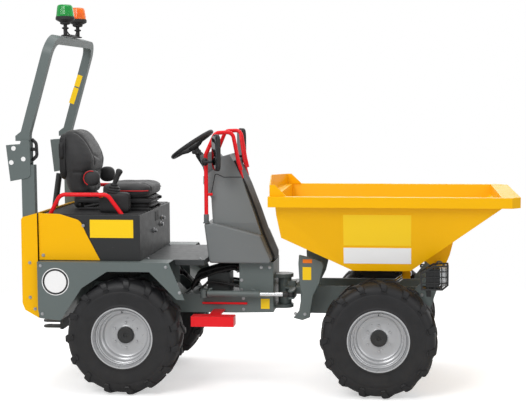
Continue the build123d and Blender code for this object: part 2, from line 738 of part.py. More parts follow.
front_side = [
    (front_frame_rear, front_frame_top_z), (front_frame_front - 60, front_frame_top_z), (front_frame_front, 600),
    (front_frame_front, front_frame_bottom_z + 60), (front_frame_front - 60, front_frame_bottom_z),
    (front_frame_rear, front_frame_bottom_z),
]
tip_bracket = [(tip_pivot - 170, 560), (tip_pivot - 60, 560), (tip_pivot + 32, tip_pivot_z - 20), (tip_pivot + 32, tip_pivot_z + 10), (tip_pivot + 10, tip_pivot_z + 30),
               (tip_pivot - 15, tip_pivot_z + 30), (tip_pivot - 35, tip_pivot_z), (tip_pivot - 170, 684)]
front_inner_y = front_frame_half_width - frame_plate
with BuildPart() as front_chassis:
    side_plate(front_side, front_inner_y, frame_plate)
    side_plate(tip_bracket, tip_bracket_y, tip_bracket_thickness)
    far = tip_bracket_y + tip_bracket_thickness + 1
    rod((tip_pivot, -far, tip_pivot_z), (tip_pivot, 1 - tip_bracket_y, tip_pivot_z), tip_pin_radius + running_gap, Mode.SUBTRACT)
    mirror(about=Plane.XZ)
    half = front_inner_y
    for x in (front_frame_rear + 100, 1930):
        block((x, x + frame_plate), (-half, half), (front_frame_bottom_z + 4, front_frame_top_z - 120))
    block((front_frame_rear, front_frame_rear + bulkhead_thickness), (-tower_y, tower_y), (480, 712))
    reach = tip_bracket_y + tip_bracket_thickness
    block((front_frame_front - 40, front_frame_front - 10), (-reach, reach), (570, 640))
    swing_hole = swing_shaft_radius + running_gap
    rod((front_frame_rear - 1, 0, swing_z), (front_frame_rear + 60, 0, swing_z), swing_hole, Mode.SUBTRACT)
    # lugs that take the tip cylinder's base
    for side in (-1, 1):
        inner = side * (tip_base_width / 2 + seat_gap)
        low_y, high_y = sorted((inner, side * half))
        block((tip_base - 30, tip_base + 30), sorted((inner, inner + side * tip_ear_thickness)), (tip_base_z - 30, 560))
        block((tip_base - 30, tip_base + 30), (low_y, high_y), (front_frame_bottom_z + 4, front_frame_bottom_z + 16))
    rod((tip_base, -half / 2, tip_base_z), (tip_base, half / 2, tip_base_z), 15)
save(front_chassis.part, "front_chassis")

tower = [
    (1181, 923), (1176, 860), (1184, 720), (1200, 650), (1180, 530), (1140, 480), (1203, 464), (1256, 484), (1262, 540),
    (1280, 640), (1322, 725), (1350, 845), (1342, 876), (1278, 900),
]
with BuildPart() as towers:
    side_plate(tower, tower_y + seat_gap, tower_thickness)
    mirror(about=Plane.XZ)
save(towers.part, "front_towers")

lamp_rear = wheelbase + 275
lamp_inner_y = 450
lamp_width = 120
cage_bar = 7
cage = [(0, 840), (88, 893), (190, 898), (190, 760), (150, 726), (6, 726)]
with BuildPart() as headlamps:
    side_outline = [(lamp_rear + x, z) for x, z in cage]
    for inner in (lamp_inner_y, lamp_inner_y + lamp_width - cage_bar):
        side_plate(side_outline, inner, cage_bar)
        window = [(lamp_rear + 12, 833), (lamp_rear + 91, 881), (lamp_rear + 178, 886), (lamp_rear + 178, 765),
                  (lamp_rear + 145, 738), (lamp_rear + 17, 738)]
        side_plate(window, inner - 1, cage_bar + 2, Mode.SUBTRACT)
    outer = lamp_inner_y + lamp_width
    for x in (50, 95, 140):
        block((lamp_rear + x, lamp_rear + x + 6), (-outer, -outer + cage_bar), (727, 880))
    for z in (772, 812, 850):
        block((lamp_rear + 12, lamp_rear + 180), (-outer, -outer + cage_bar), (z, z + 6))
        block((lamp_rear + 183, lamp_rear + 190), (-outer, -lamp_inner_y), (z, z + 6))
    for y in (lamp_inner_y + 30, lamp_inner_y + 60, lamp_inner_y + 90):
        block((lamp_rear + 183, lamp_rear + 190), (-y - 3, -y + 3), (761, 897))
    block((lamp_rear + 6, lamp_rear + 150), (-outer, -lamp_inner_y), (726, 733))
    block((lamp_rear + 183, lamp_rear + 190), (-outer, -lamp_inner_y), (890, 897))
    block((lamp_rear + 40, lamp_rear + 130), (-outer + 14, -lamp_inner_y - 14), (745, 870))
    block((lamp_rear + 60, lamp_rear + 90), (-outer + 50, -lamp_inner_y - 40), (730, 748))
    arm_low = 668
    block((lamp_rear + 45, lamp_rear + 75), (-lamp_inner_y - 30, -tip_bracket_y - tip_bracket_thickness - seat_gap),
          (arm_low, arm_low + 14))
    block((lamp_rear + 45, lamp_rear + 75), (-lamp_inner_y - 30, -lamp_inner_y - 16), (arm_low, 728))
    mirror(about=Plane.XZ)
save(headlamps.part, "headlamps")

# --- skip: side-view body cut by slanting sides, with a hollow, rim and bowed rear guard ---

rim_bottom_z = rim_top_z - rim_height
lip_rear = front_reach - lip_depth
skip_outline = [
    (rim_rear + 48, rim_bottom_z - 60), (rim_rear + 75, 1060), (skip_floor_rear, skip_floor_z), (skip_floor_front, skip_floor_z),
    (lip_rear, rim_bottom_z - 5), (lip_rear, rim_top_z), (rim_rear + rim_depth, rim_top_z), (rim_rear + rim_depth, rim_bottom_z),
]


def hollow(outline, wall):
    """the outline moved in by the wall, its top lifted clear"""
    with BuildSketch(Plane.XZ) as inner:
        with BuildLine():
            Polyline(*[(ahead(x), z) for x, z in outline], close=True)
        make_face()
        offset(amount=-wall, kind=Kind.INTERSECTION)
    return inner.sketch


def skip_section(half_bottom, half_top, bottom, top):
    return [(-half_bottom, bottom), (half_bottom, bottom), (half_top, top), (half_top, top + 60), (-half_top, top + 60), (-half_top, top)]


with BuildPart() as skip:
    across(skip_outline, rim_half_width)
    with BuildSketch(Plane.YZ.offset(ahead(900))) as sides:
        with BuildLine():
            Polyline(*skip_section(skip_floor_half_width, skip_side_half_width, skip_floor_z, rim_top_z), close=True)
        make_face()
    extrude(sides.sketch, amount=2000, mode=Mode.INTERSECT)
    # rim all round
    with BuildSketch(Plane.XY.offset(rim_bottom_z)) as rim_outer:
        with BuildLine():
            Polyline((ahead(rim_rear), -rim_half_width), (ahead(front_reach) - 60, -rim_half_width), (ahead(front_reach), -rim_half_width + 60),
                     (ahead(front_reach), rim_half_width - 60), (ahead(front_reach) - 60, rim_half_width), (ahead(rim_rear), rim_half_width),
                     (ahead(rim_rear) - 0, 0), close=True)
        make_face()
    extrude(rim_outer.sketch, amount=rim_height)
    inner_half = skip_side_half_width - skip_wall
    cavity = hollow(skip_outline, skip_wall)
    with BuildPart(mode=Mode.PRIVATE) as load:
        extrude(cavity, amount=rim_half_width, both=True)
        block((rim_rear + rim_depth + skip_wall, lip_rear - skip_wall), (-inner_half, inner_half), (rim_top_z - 20, rim_top_z + 50))
        with BuildSketch(Plane.YZ.offset(ahead(900))) as inner_sides:
            with BuildLine():
                Polyline(*skip_section(skip_floor_half_width - skip_wall, inner_half, skip_floor_z, rim_top_z), close=True)
            make_face()
        extrude(inner_sides.sketch, amount=2000, mode=Mode.INTERSECT)
    add(load.part, mode=Mode.SUBTRACT)
save(skip.part, "skip")

guard_half = 545  # corners of the guard
cheek_length = 110
with BuildPart() as skip_guard:
    low, high = rim_top_z + seat_gap, guard_top_z
    rear, corner = ahead(rim_rear - guard_bow), ahead(rim_rear + 6)
    for side in (-1, 1):
        with BuildSketch(Plane.XY.offset(low)) as wall:
            with BuildLine():
                Polyline(
                    (rear, 0), (corner, side * guard_half), (corner + cheek_length, side * guard_half),
                    (corner + cheek_length, side * (guard_half - skip_wall)),
                    (corner + skip_wall, side * (guard_half - skip_wall)), (rear + skip_wall, 0), close=True,
                )
            make_face()
        extrude(wall.sketch, amount=high - low)
    with BuildSketch(Plane.YZ.offset(ahead(900))) as front_view:
        with BuildLine():
            Polyline((-600, low), (600, low), (600, guard_corner_z), (guard_half, guard_corner_z), (0, high),
                     (-guard_half, guard_corner_z), (-600, guard_corner_z), close=True)
        make_face()
    extrude(front_view.sketch, amount=400, mode=Mode.INTERSECT)
    across([(900, low), (rim_rear + 120, low), (rim_rear + 10, high), (rim_rear - 10, high + 100), (900, high + 100)],
           700, Mode.INTERSECT)
save(skip_guard.part, "skip_guard")


def slope_z(x):
    """height of the skip's front slope"""
    run = (x - skip_floor_front) / (lip_rear - skip_floor_front)
    return skip_floor_z + run * (rim_bottom_z - 5 - skip_floor_z)


gusset = [(x, slope_z(x) - 2 * seat_gap) for x in (tip_pivot - 110, tip_pivot + 100)] + [
    (tip_pivot + 70, 930), (tip_pivot + 32, 836), (tip_pivot + 15, 824), (tip_pivot - 20, 824), (tip_pivot - 38, 838),
]
with BuildPart() as skip_brackets:
    side_plate(gusset, tip_bracket_y - 2 - tip_bracket_thickness, tip_bracket_thickness)
    reach = tip_bracket_y + tip_bracket_thickness + 4
    rod((tip_pivot, -reach, tip_pivot_z), (tip_pivot, 2 - tip_bracket_y, tip_pivot_z), tip_pin_radius)
    # ears under the floor for the tip cylinder
    ear = tip_eye_width / 2 + tip_ear_gap
    block((tip_eye - 36, tip_eye + 20), (-ear - tip_ear_thickness, -ear), (tip_eye_z - 34, skip_floor_z - seat_gap))
    rod((tip_eye, -ear - tip_ear_thickness - 8, tip_eye_z), (tip_eye, -ear - tip_ear_thickness, tip_eye_z), 22)
    mirror(about=Plane.XZ)
save(skip_brackets.part, "skip_brackets")

# --- tip cylinder ---

tip_length = hypot(tip_eye - tip_base, tip_eye_z - tip_base_z)
tip_lean = atan2(tip_eye_z - tip_base_z, tip_eye - tip_base)


def on_tip(distance):
    return (tip_base + distance * cos(tip_lean), 0, tip_base_z + distance * sin(tip_lean))


with BuildPart() as tip_barrel:
    rod(on_tip(20), on_tip(tip_barrel_length), tip_barrel_radius)
    half = tip_base_width / 2
    rod((tip_base, -half, tip_base_z), (tip_base, half, tip_base_z), tip_eye_radius)
    rod((tip_base, -half - 1, tip_base_z), (tip_base, half + 1, tip_base_z), 15 + running_gap, Mode.SUBTRACT)
    rod(on_tip(80), on_tip(tip_barrel_length + 1), tip_rod_radius + running_gap, Mode.SUBTRACT)
save(tip_barrel.part, "tip_barrel")

with BuildPart() as tip_rod:
    half = tip_eye_width / 2
    rod(on_tip(100), on_tip(tip_length), tip_rod_radius)
    rod((tip_eye, -half, tip_eye_z), (tip_eye, half, tip_eye_z), tip_eye_radius)
    rod((tip_eye, -half - 1, tip_eye_z), (tip_eye, half + 1, tip_eye_z), 15, Mode.SUBTRACT)
save(tip_rod.part, "tip_rod")

print("rear axle at", rear_axle_x, "tip cylinder length", round(tip_length, 1), "hub end", hub_inner_y)
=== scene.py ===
import json
import math
import bmesh
import bpy
import numpy as np
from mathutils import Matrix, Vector

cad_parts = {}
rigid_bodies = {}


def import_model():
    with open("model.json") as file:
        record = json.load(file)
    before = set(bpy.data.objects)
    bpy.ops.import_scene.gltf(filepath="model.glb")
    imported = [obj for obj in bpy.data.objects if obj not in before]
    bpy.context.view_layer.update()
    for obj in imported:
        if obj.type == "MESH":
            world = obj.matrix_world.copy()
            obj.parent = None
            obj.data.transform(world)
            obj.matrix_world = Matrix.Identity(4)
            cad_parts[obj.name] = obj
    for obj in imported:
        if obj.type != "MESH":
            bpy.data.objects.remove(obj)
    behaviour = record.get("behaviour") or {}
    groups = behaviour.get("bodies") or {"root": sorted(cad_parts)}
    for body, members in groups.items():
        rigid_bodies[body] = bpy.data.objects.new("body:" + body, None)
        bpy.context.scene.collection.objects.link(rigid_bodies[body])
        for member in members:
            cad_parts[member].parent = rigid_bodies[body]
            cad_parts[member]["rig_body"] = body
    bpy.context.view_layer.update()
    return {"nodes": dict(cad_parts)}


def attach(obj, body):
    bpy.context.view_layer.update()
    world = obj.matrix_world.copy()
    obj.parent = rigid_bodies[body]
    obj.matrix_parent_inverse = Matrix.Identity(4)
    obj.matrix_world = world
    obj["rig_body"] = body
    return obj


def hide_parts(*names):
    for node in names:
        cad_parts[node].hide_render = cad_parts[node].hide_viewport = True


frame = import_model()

nodes = frame["nodes"]
scene = bpy.context.scene
origin, axisX, axisY, axisZ = (0, 0, 0), (1, 0, 0), (0, 1, 0), (0, 0, 1)
sides = {"right": -1, "left": 1}
print("frame loaded")

# places are in mm, x ahead of the rear axle, y to the left, z up; this moves them to the frame's own
frameShift = np.array([-940.0, 0.0, 18.0])


def toMetres(points):
    # the places moved by the frame's shift, in metres
    return (np.asarray(points, float) + frameShift) / 1000.0


def cleaned(mesh, reach, joinAngle=None):
    # near places become one; flat faces are joined where an angle is given, else all turned outwards
    work = bmesh.new()
    work.from_mesh(mesh)
    bmesh.ops.remove_doubles(work, verts=work.verts, dist=reach)
    if joinAngle is None:
        bmesh.ops.recalc_face_normals(work, faces=work.faces)
    else:
        bmesh.ops.dissolve_limit(work, angle_limit=math.radians(joinAngle), verts=work.verts,
                                 edges=work.edges)
    work.to_mesh(mesh)
    work.free()


def addObject(name, mesh, material, smoothAngle):
    # smooth faces, with a sharp edge where two meet at more than the angle
    mesh.polygons.foreach_set("use_smooth", [True] * len(mesh.polygons))
    mesh.set_sharp_from_angle(angle=math.radians(smoothAngle))
    mesh.materials.clear()
    mesh.materials.append(finishes[material])
    piece = bpy.data.objects.new(name, mesh)
    scene.collection.objects.link(piece)
    return piece


def bevelled(piece, width):
    # a live bevel, its width given in mm, with even highlights
    bevel = piece.modifiers.new("softEdge", "BEVEL")
    bevel.width, bevel.segments = width / 1000, 2
    bevel.limit_method, bevel.angle_limit = "ANGLE", math.radians(30)
    bevel.harden_normals = True


def makePiece(name, shape, body, material, slotName, smoothAngle=40, replaced=None, rounded=0):
    # a shape is its places and its faces; the piece rides a body and may stand in for a node
    mesh = bpy.data.meshes.new(name)
    mesh.from_pydata(toMetres(shape[0]).tolist(), [], shape[1])
    cleaned(mesh, 1e-5)
    piece = addObject(name, mesh, material, smoothAngle)
    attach(piece, body)
    if replaced:
        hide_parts(replaced)
    if rounded:
        bevelled(piece, rounded)
    return piece


def softened(node, width, material, slotName):
    # a copy of the node's mesh with its flat triangles joined and its edges rounded
    mesh = nodes[node].data.copy()
    cleaned(mesh, 2e-5, 0.5)
    piece = addObject("soft_" + node, mesh, material, 35)
    bevelled(piece, width)
    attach(piece, nodes[node]["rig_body"])
    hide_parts(node)


def gridFaces(rows, columns):
    # quads between neighbouring places of a rows by columns grid that closes round its columns
    row = np.arange(rows - 1)[:, None] * columns
    here, there = np.arange(columns)[None, :], (np.arange(columns)[None, :] + 1) % columns
    return np.stack([row + here, row + there, row + columns + there, row + columns + here], -1).reshape(-1, 4)


def gridShape(grid):
    # a rows by columns by 3 array of places as one shape
    return grid.reshape(-1, 3), gridFaces(*grid.shape[:2]).tolist()


def shutEnds(grid):
    # one more row at each end, all of it at the middle of the end row
    low, high = (row.mean(1, keepdims=True).repeat(grid.shape[1], 1) for row in (grid[:1], grid[-1:]))
    return np.concatenate([low, grid, high])


def joinShapes(shapes):
    # several shapes as one: each one's faces count on from the places before it
    points, faces, count = [], [], 0
    for shapePoints, shapeFaces in shapes:
        points.append(np.asarray(shapePoints, float))
        faces += [[place + count for place in face] for face in shapeFaces]
        count += len(shapePoints)
    return np.concatenate(points), faces


def lathe(profile, centre, axis, segments=48, ripple=0.0, ripples=0):
    # profile of (radius, distance along the axis) turned once round the axis:
    # point = centre + axis*along + radius*(1 + ripple*cos(ripples*angle))*(cos(angle)*u + sin(angle)*v)
    profile = np.asarray(profile, float)
    axis = np.asarray(axis, float) / np.linalg.norm(axis)
    u = np.cross(axisZ if abs(axis[2]) < 0.9 else axisX, axis)
    u /= np.linalg.norm(u)
    v = np.cross(axis, u)
    angle = np.linspace(0, 2 * np.pi, segments, endpoint=False)
    radius = profile[:, None, 0] * (1 + ripple * np.cos(ripples * angle))[None, :]
    return gridShape(np.asarray(centre, float) + profile[:, None, 1, None] * axis
                     + radius[..., None] * (np.cos(angle)[:, None] * u + np.sin(angle)[:, None] * v)[None])


def drum(radius, length):
    # the profile of a plain round bar
    return [(0, 0), (radius, 0), (radius, length), (0, length)]


def boss(radius, half, edge):
    # the profile of a round boss, half its length to either side, its edges cut at 45 degrees
    return [(0, -half), (radius - edge, -half), (radius, edge - half),
            (radius, half - edge), (radius - edge, half), (0, half)]


def bentPath(route, bend, steps=7):
    # straight runs joined by arcs: each corner becomes steps places on a circle tangent to both runs
    route = np.asarray(route, float)
    places = [route[:1]]
    for before, corner, after in zip(route[:-2], route[1:-1], route[2:]):
        a, b = before - corner, after - corner
        lengthA, lengthB = np.linalg.norm(a), np.linalg.norm(b)
        a, b = a / lengthA, b / lengthB
        half = np.arccos(np.clip(np.dot(a, b), -1, 1)) / 2
        reach = min(bend / np.tan(half), 0.48 * lengthA, 0.48 * lengthB)
        radius = reach * np.tan(half)
        middle = (a + b) / np.linalg.norm(a + b)
        centre = corner + middle * radius / np.sin(half)
        t = np.linspace(-1, 1, steps)[:, None] * (np.pi / 2 - half)
        across = (b - a) / np.linalg.norm(b - a)
        places.append(centre - middle * radius * np.cos(t) + across * radius * np.sin(t))
    places.append(route[-1:])
    return np.concatenate(places)


def pipe(route, radius, bend=40, segments=14, steps=7, flat=1.0):
    # a ring carried along a bent path; its first axis is the tangent crossed with the direction that
    # the path uses least, its second is squeezed by flat; each end narrows by a fifth and is shut
    path = bentPath(route, bend, steps) if len(route) > 2 else np.asarray(route, float)
    tangent = np.gradient(path, axis=0)
    tangent /= np.linalg.norm(tangent, axis=1)[:, None]
    spare = np.linalg.svd(tangent)[2][-1]
    n = np.cross(tangent, spare)
    n /= np.linalg.norm(n, axis=1)[:, None]
    b = np.cross(tangent, n)
    angle = np.linspace(0, 2 * np.pi, segments, endpoint=False)
    ring = np.cos(angle)[None, :, None] * n[:, None] + np.sin(angle)[None, :, None] * b[:, None] * flat
    first = path[:1, None] + radius * 0.8 * ring[:1] - tangent[:1, None] * radius * 0.2
    last = path[-1:, None] + radius * 0.8 * ring[-1:] + tangent[-1:, None] * radius * 0.2
    return gridShape(shutEnds(np.concatenate([first, path[:, None] + radius * ring, last])))


def mirrored(places, side):
    return np.array(places, float) * [1, side, 1]


def rectangle(left, low, right, high):
    return [(left, low), (right, low), (right, high), (left, high)]


def slab(outline, plane, low, high):
    # an outline in the two named coordinates given a thickness along the third
    outline = np.asarray(outline, float)
    order = {"xz": (0, 2, 1), "xy": (0, 1, 2), "yz": (1, 2, 0)}[plane]
    count = len(outline)
    points = np.zeros((2 * count, 3))
    points[:, order[0]] = np.tile(outline[:, 0], 2)
    points[:, order[1]] = np.tile(outline[:, 1], 2)
    points[:, order[2]] = np.repeat([low, high], count)
    ring = np.arange(count)
    walls = np.stack([ring, (ring + 1) % count, (ring + 1) % count + count, ring + count], -1).tolist()
    return points, walls + [list(range(count))[::-1], list(range(count, 2 * count))]


def pillow(low, high, power=4.0, rows=24, columns=36):
    # |x/a|^p + |y/b|^p + |z/c|^p = 1: a ball pushed out towards its box, rounder for a small power
    low, high = np.asarray(low, float), np.asarray(high, float)
    lat = np.linspace(-np.pi / 2, np.pi / 2, rows)[:, None]
    lon = np.linspace(0, 2 * np.pi, columns, endpoint=False)[None, :]
    ball = np.stack([np.cos(lat) * np.cos(lon), np.cos(lat) * np.sin(lon), np.sin(lat) + 0 * lon], -1)
    size = (np.abs(ball) ** power).sum(-1, keepdims=True) ** (1 / power)
    return gridShape((low + high) / 2 + ball / size * (high - low) / 2)


def stackedRings(middle, halfDepth, halfWidth, height, power, columns):
    # squared rings one above the other: x and y are |cos|^power and |sin|^power of the angle with
    # their signs, times half the depth and half the width
    angle = np.linspace(0, 2 * np.pi, columns, endpoint=False)
    forward, sideways = (np.sign(wave) * np.abs(wave) ** power for wave in (np.cos(angle), np.sin(angle)))
    x = middle[:, None] + halfDepth[:, None] * forward[None]
    return gridShape(shutEnds(np.stack([x, halfWidth[:, None] * sideways[None], height[:, None] + 0 * x],
                                       -1)))


boltSet = {"washer": 1.35, "washerThick": 2.2, "chamfer": 1.5}


def fasteners(centres, axis, across, height):
    # hexagon heads on washers: one bolt's places added to every centre
    flat, edge = across / 2, height - boltSet["chamfer"]
    head = [(0, 2), (flat, 2), (flat, edge), (across / 2.5, height), (0, height)]
    washer = lathe(drum(flat * boltSet["washer"], boltSet["washerThick"]), origin, axis, 12)
    bolt, faces = joinShapes([washer, lathe(head, origin, axis, 6)])
    return joinShapes([(bolt + np.asarray(centre, float), faces) for centre in centres])


def tone(red, green, blue):
    # screen colour 0 to 255 as the linear colour that a shader takes
    values = np.array([red, green, blue]) / 255
    linear = np.where(values <= 0.04045, values / 12.92, ((values + 0.055) / 1.055) ** 2.4)
    return (*linear.tolist(), 1.0)


def feed(tree, socket, value):
    # a link where the value is another socket, else the value itself
    if hasattr(value, "links"):
        tree.links.new(value, socket)
    else:
        socket.default_value = value


def setSockets(tree, node, **values):
    # each value goes to the first socket of its name, spaces left out
    for socket in node.inputs:
        label = socket.name.replace(" ", "")
        if label in values:
            feed(tree, socket, values.pop(label))
    return node


def addNode(tree, kind, **values):
    return setSockets(tree, tree.nodes.new("ShaderNode" + kind), **values)


def objectPlace(tree):
    return addNode(tree, "TexCoord").outputs["Object"]


def newGroup(name, inputs, outputs):
    # a group, what its input sockets give, its output node and the object's own coordinates
    group = bpy.data.node_groups.new(name, "ShaderNodeTree")
    for label, value in inputs.items():
        kind = "NodeSocketColor" if isinstance(value, tuple) else "NodeSocketFloat"
        group.interface.new_socket(label, in_out="INPUT", socket_type=kind).default_value = value
    for label in outputs:
        kind = "NodeSocketColor" if label == "Colour" else "NodeSocketFloat"
        group.interface.new_socket(label, in_out="OUTPUT", socket_type=kind)
    made = group.nodes.new("NodeGroupOutput")
    return group, group.nodes.new("NodeGroupInput").outputs, made, objectPlace(group)


def maths(tree, operation, first, second, clamp=False):
    node = addNode(tree, "Math")
    node.operation, node.use_clamp = operation, clamp
    feed(tree, node.inputs[0], first)
    feed(tree, node.inputs[1], second)
    return node.outputs[0]


def times(tree, first, second, clamp=False):
    return maths(tree, "MULTIPLY", first, second, clamp)


def plus(tree, first, second, clamp=False):
    return maths(tree, "ADD", first, second, clamp)


def mixed(tree, factor, first, second):
    node = addNode(tree, "Mix")
    node.data_type = "RGBA"
    for index, value in ((0, factor), (6, first), (7, second)):
        feed(tree, node.inputs[index], value)
    return node.outputs[2]


def noise(tree, vector, scale, detail=4.0, roughness=0.55):
    node = addNode(tree, "TexNoise", Vector=vector, Scale=scale, Detail=detail, Roughness=roughness)
    return node.outputs["Fac"]


def ranged(tree, value, low, high, outLow=0.0, outHigh=1.0):
    # the value taken from its own range to another, held at the ends
    node = addNode(tree, "MapRange", Value=value, FromMin=low, FromMax=high, ToMin=outLow, ToMax=outHigh)
    return node.outputs[0]


# paint: slow colour drift, faint cloudy patches, orange peel and rare fine scratches
paintSet = {
    "driftScale": 2.2, "cloudScale": 21, "cloudShine": 0.22, "peelScale": 320, "peelShare": 0.6,
    "stretch": (3, 40, 60), "turn": (0.1, 0.35, 0.2), "scratchScale": 6, "scratchFrom": 0.72,
    "scratchTo": 0.78, "scratchColour": (0.7, 0.7, 0.68, 1), "paler": 0.35, "duller": 0.25, "deep": -0.4,
}
paintGroup, given, made, place = newGroup(
    "paintSurface", {"Colour": (0.5, 0.5, 0.5, 1), "Drift": 0.06, "Shine": 0.4, "Scratches": 0.3},
    ("Colour", "Roughness", "Height"))
tree = paintGroup
slow, cloud = noise(tree, place, paintSet["driftScale"], 3), noise(tree, place, paintSet["cloudScale"], 5)
shade = times(tree, maths(tree, "SUBTRACT", slow, 0.5), given["Drift"])
bright = addNode(tree, "HueSaturation", Color=given["Colour"], Value=plus(tree, times(tree, shade, 2.0), 1.0))
stretch = addNode(tree, "Mapping", Scale=paintSet["stretch"], Rotation=paintSet["turn"], Vector=place)
scratch = noise(tree, stretch.outputs[0], paintSet["scratchScale"], 2)
scratch = ranged(tree, scratch, paintSet["scratchFrom"], paintSet["scratchTo"])
scratch = times(tree, scratch, given["Scratches"])
paler = times(tree, scratch, paintSet["paler"])
rough = plus(tree, given["Shine"], times(tree, maths(tree, "SUBTRACT", cloud, 0.5), paintSet["cloudShine"]))
peel = times(tree, noise(tree, place, paintSet["peelScale"], 2), paintSet["peelShare"])
setSockets(tree, made, Colour=mixed(tree, paler, bright.outputs[0], paintSet["scratchColour"]),
           Roughness=plus(tree, rough, times(tree, scratch, paintSet["duller"])),
           Height=plus(tree, peel, times(tree, scratch, paintSet["deep"])))

# dust: settles towards the ground, broken up by noise
dustSet = {"colour": (150, 138, 118), "scale": 9, "from": 0.35, "to": 0.75}
dustGroup, given, made, place = newGroup(
    "roadDust", {"Colour": (0.5, 0.5, 0.5, 1), "Amount": 0.2, "Top": 0.9}, ("Colour", "Mask"))
tree = dustGroup
height = maths(tree, "DIVIDE", addNode(tree, "SeparateXYZ", Vector=place).outputs["Z"], given["Top"])
patches = ranged(tree, noise(tree, place, dustSet["scale"], 6, 0.7), dustSet["from"], dustSet["to"])
mask = times(tree, maths(tree, "SUBTRACT", 1.0, height, clamp=True), patches)
mask = times(tree, mask, given["Amount"], clamp=True)
setSockets(tree, made, Colour=mixed(tree, mask, given["Colour"], tone(*dustSet["colour"])), Mask=mask)

# moulded grain: small cells for plastic, vinyl and rubber
grainGroup, given, made, place = newGroup(
    "mouldedGrain", {"Scale": 400.0, "Patchiness": 0.3}, ("Height", "Patch"))
tree = grainGroup
cells = addNode(tree, "TexVoronoi", Vector=place, Scale=given["Scale"])
wide = noise(tree, place, 14, 5)
setSockets(tree, made, Height=plus(tree, cells.outputs["Distance"], times(tree, wide, given["Patchiness"])),
           Patch=ranged(tree, wide, 0.3, 0.7))


def startMaterial(name):
    material = bpy.data.materials.new(name)
    material.use_nodes = True
    return material, material.node_tree, material.node_tree.nodes["Principled BSDF"]


def placeGroup(tree, group, **values):
    node = addNode(tree, "Group")
    node.node_tree = group
    return setSockets(tree, node, **values).outputs


def bumped(tree, shader, height, strength, distance):
    bump = addNode(tree, "Bump", Strength=strength, Distance=distance, Height=height)
    feed(tree, shader.inputs["Normal"], bump.outputs[0])


def paint(name, colour, shine=0.38, drift=0.06, scratches=0.3, dust=0.15, dustTop=0.9, metal=0.0, coat=0.0,
          peel=0.12, gloss=0.35):
    material, tree, shader = startMaterial(name)
    surface = placeGroup(tree, paintGroup, Colour=tone(*colour), Drift=drift, Shine=shine,
                         Scratches=scratches)
    dusty = placeGroup(tree, dustGroup, Colour=surface["Colour"], Amount=dust, Top=dustTop)
    dull = plus(tree, surface["Roughness"], times(tree, dusty["Mask"], 0.4), clamp=True)
    setSockets(tree, shader, BaseColor=dusty["Colour"], Roughness=dull, Metallic=metal,
               SpecularIORLevel=gloss, CoatWeight=coat, CoatRoughness=0.12)
    bumped(tree, shader, surface["Height"], peel, 0.0006)
    return material


def moulded(name, colour, pale, roughness=0.5, scale=420, bump=0.2, dust=0.1, dustTop=0.9, sheen=0.0):
    material, tree, shader = startMaterial(name)
    grain = placeGroup(tree, grainGroup, Scale=scale, Patchiness=0.35)
    blend = mixed(tree, grain["Patch"], tone(*colour), tone(*pale))
    dusty = placeGroup(tree, dustGroup, Colour=blend, Amount=dust, Top=dustTop)
    dull = plus(tree, times(tree, grain["Patch"], 0.12), roughness, clamp=True)
    setSockets(tree, shader, BaseColor=dusty["Colour"], Roughness=dull, SheenWeight=sheen,
               SpecularIORLevel=0.32)
    bumped(tree, shader, grain["Height"], bump, 0.0007)
    return material


def lens(name, colour, transmission=0.55, roughness=0.12, glow=0.0):
    material, tree, shader = startMaterial(name)
    place = objectPlace(tree)
    clear = tone(*colour)
    darker = tuple(0.75 * part for part in clear[:3]) + (1,)
    deep = mixed(tree, ranged(tree, noise(tree, place, 30, 2), 0.3, 0.7), clear, darker)
    setSockets(tree, shader, BaseColor=deep, TransmissionWeight=transmission, Roughness=roughness,
               EmissionColor=clear, EmissionStrength=glow)
    bumped(tree, shader, noise(tree, place, 150, 2), 0.05, 0.0005)
    return material


# each finish by what differs from the usual; a moulded one has a paler colour in patches
plate = dict(shine=0.35, drift=0.02, scratches=0.1, dust=0.02)
panel = dict(shine=0.48, drift=0.04, dust=0.0, peel=0.2)
paints = {
    "yellowPaint": dict(colour=(246, 184, 0), shine=0.42, drift=0.035, dust=0.02, coat=0.04, gloss=0.16),
    "greyPaint": dict(colour=(96, 105, 104), shine=0.42, dust=0.08, dustTop=0.8),
    "darkPaint": dict(colour=(52, 55, 56), shine=0.5, drift=0.08, dust=0.2),
    "blackPaint": dict(colour=(38, 39, 40), shine=0.42, drift=0.08, dust=0.06),
    "redPaint": dict(colour=(230, 22, 32), shine=0.34, drift=0.05, dust=0.02, coat=0.1, gloss=0.2),
    "rimPaint": dict(colour=(182, 183, 185), shine=0.3, drift=0.05, dust=0.05, dustTop=0.5, metal=0.35),
    "boltSteel": dict(colour=(168, 170, 172), shine=0.34, drift=0.1, dust=0.1, metal=0.8),
    "chromeRod": dict(colour=(222, 224, 226), shine=0.12, drift=0.02, scratches=0.1, dust=0.0, metal=1.0,
                      peel=0.02),
    # the mirror glass is dark metal: a painted dark reflection in place of the white surroundings that it
    # would mirror
    "mirrorGlassDarkReflection": dict(colour=(58, 61, 64), shine=0.08, drift=0.01, scratches=0.0, dust=0.0, metal=1.0,
                        peel=0.01),
    "panelGrey": dict(colour=(112, 116, 117), **panel), "panelGreyDark": dict(colour=(88, 92, 94), **panel),
    "whitePlate": dict(colour=(240, 240, 240), **plate), "yellowPlate": dict(colour=(250, 206, 10), **plate),
    "orangePlate": dict(colour=(238, 120, 20), **plate),
}
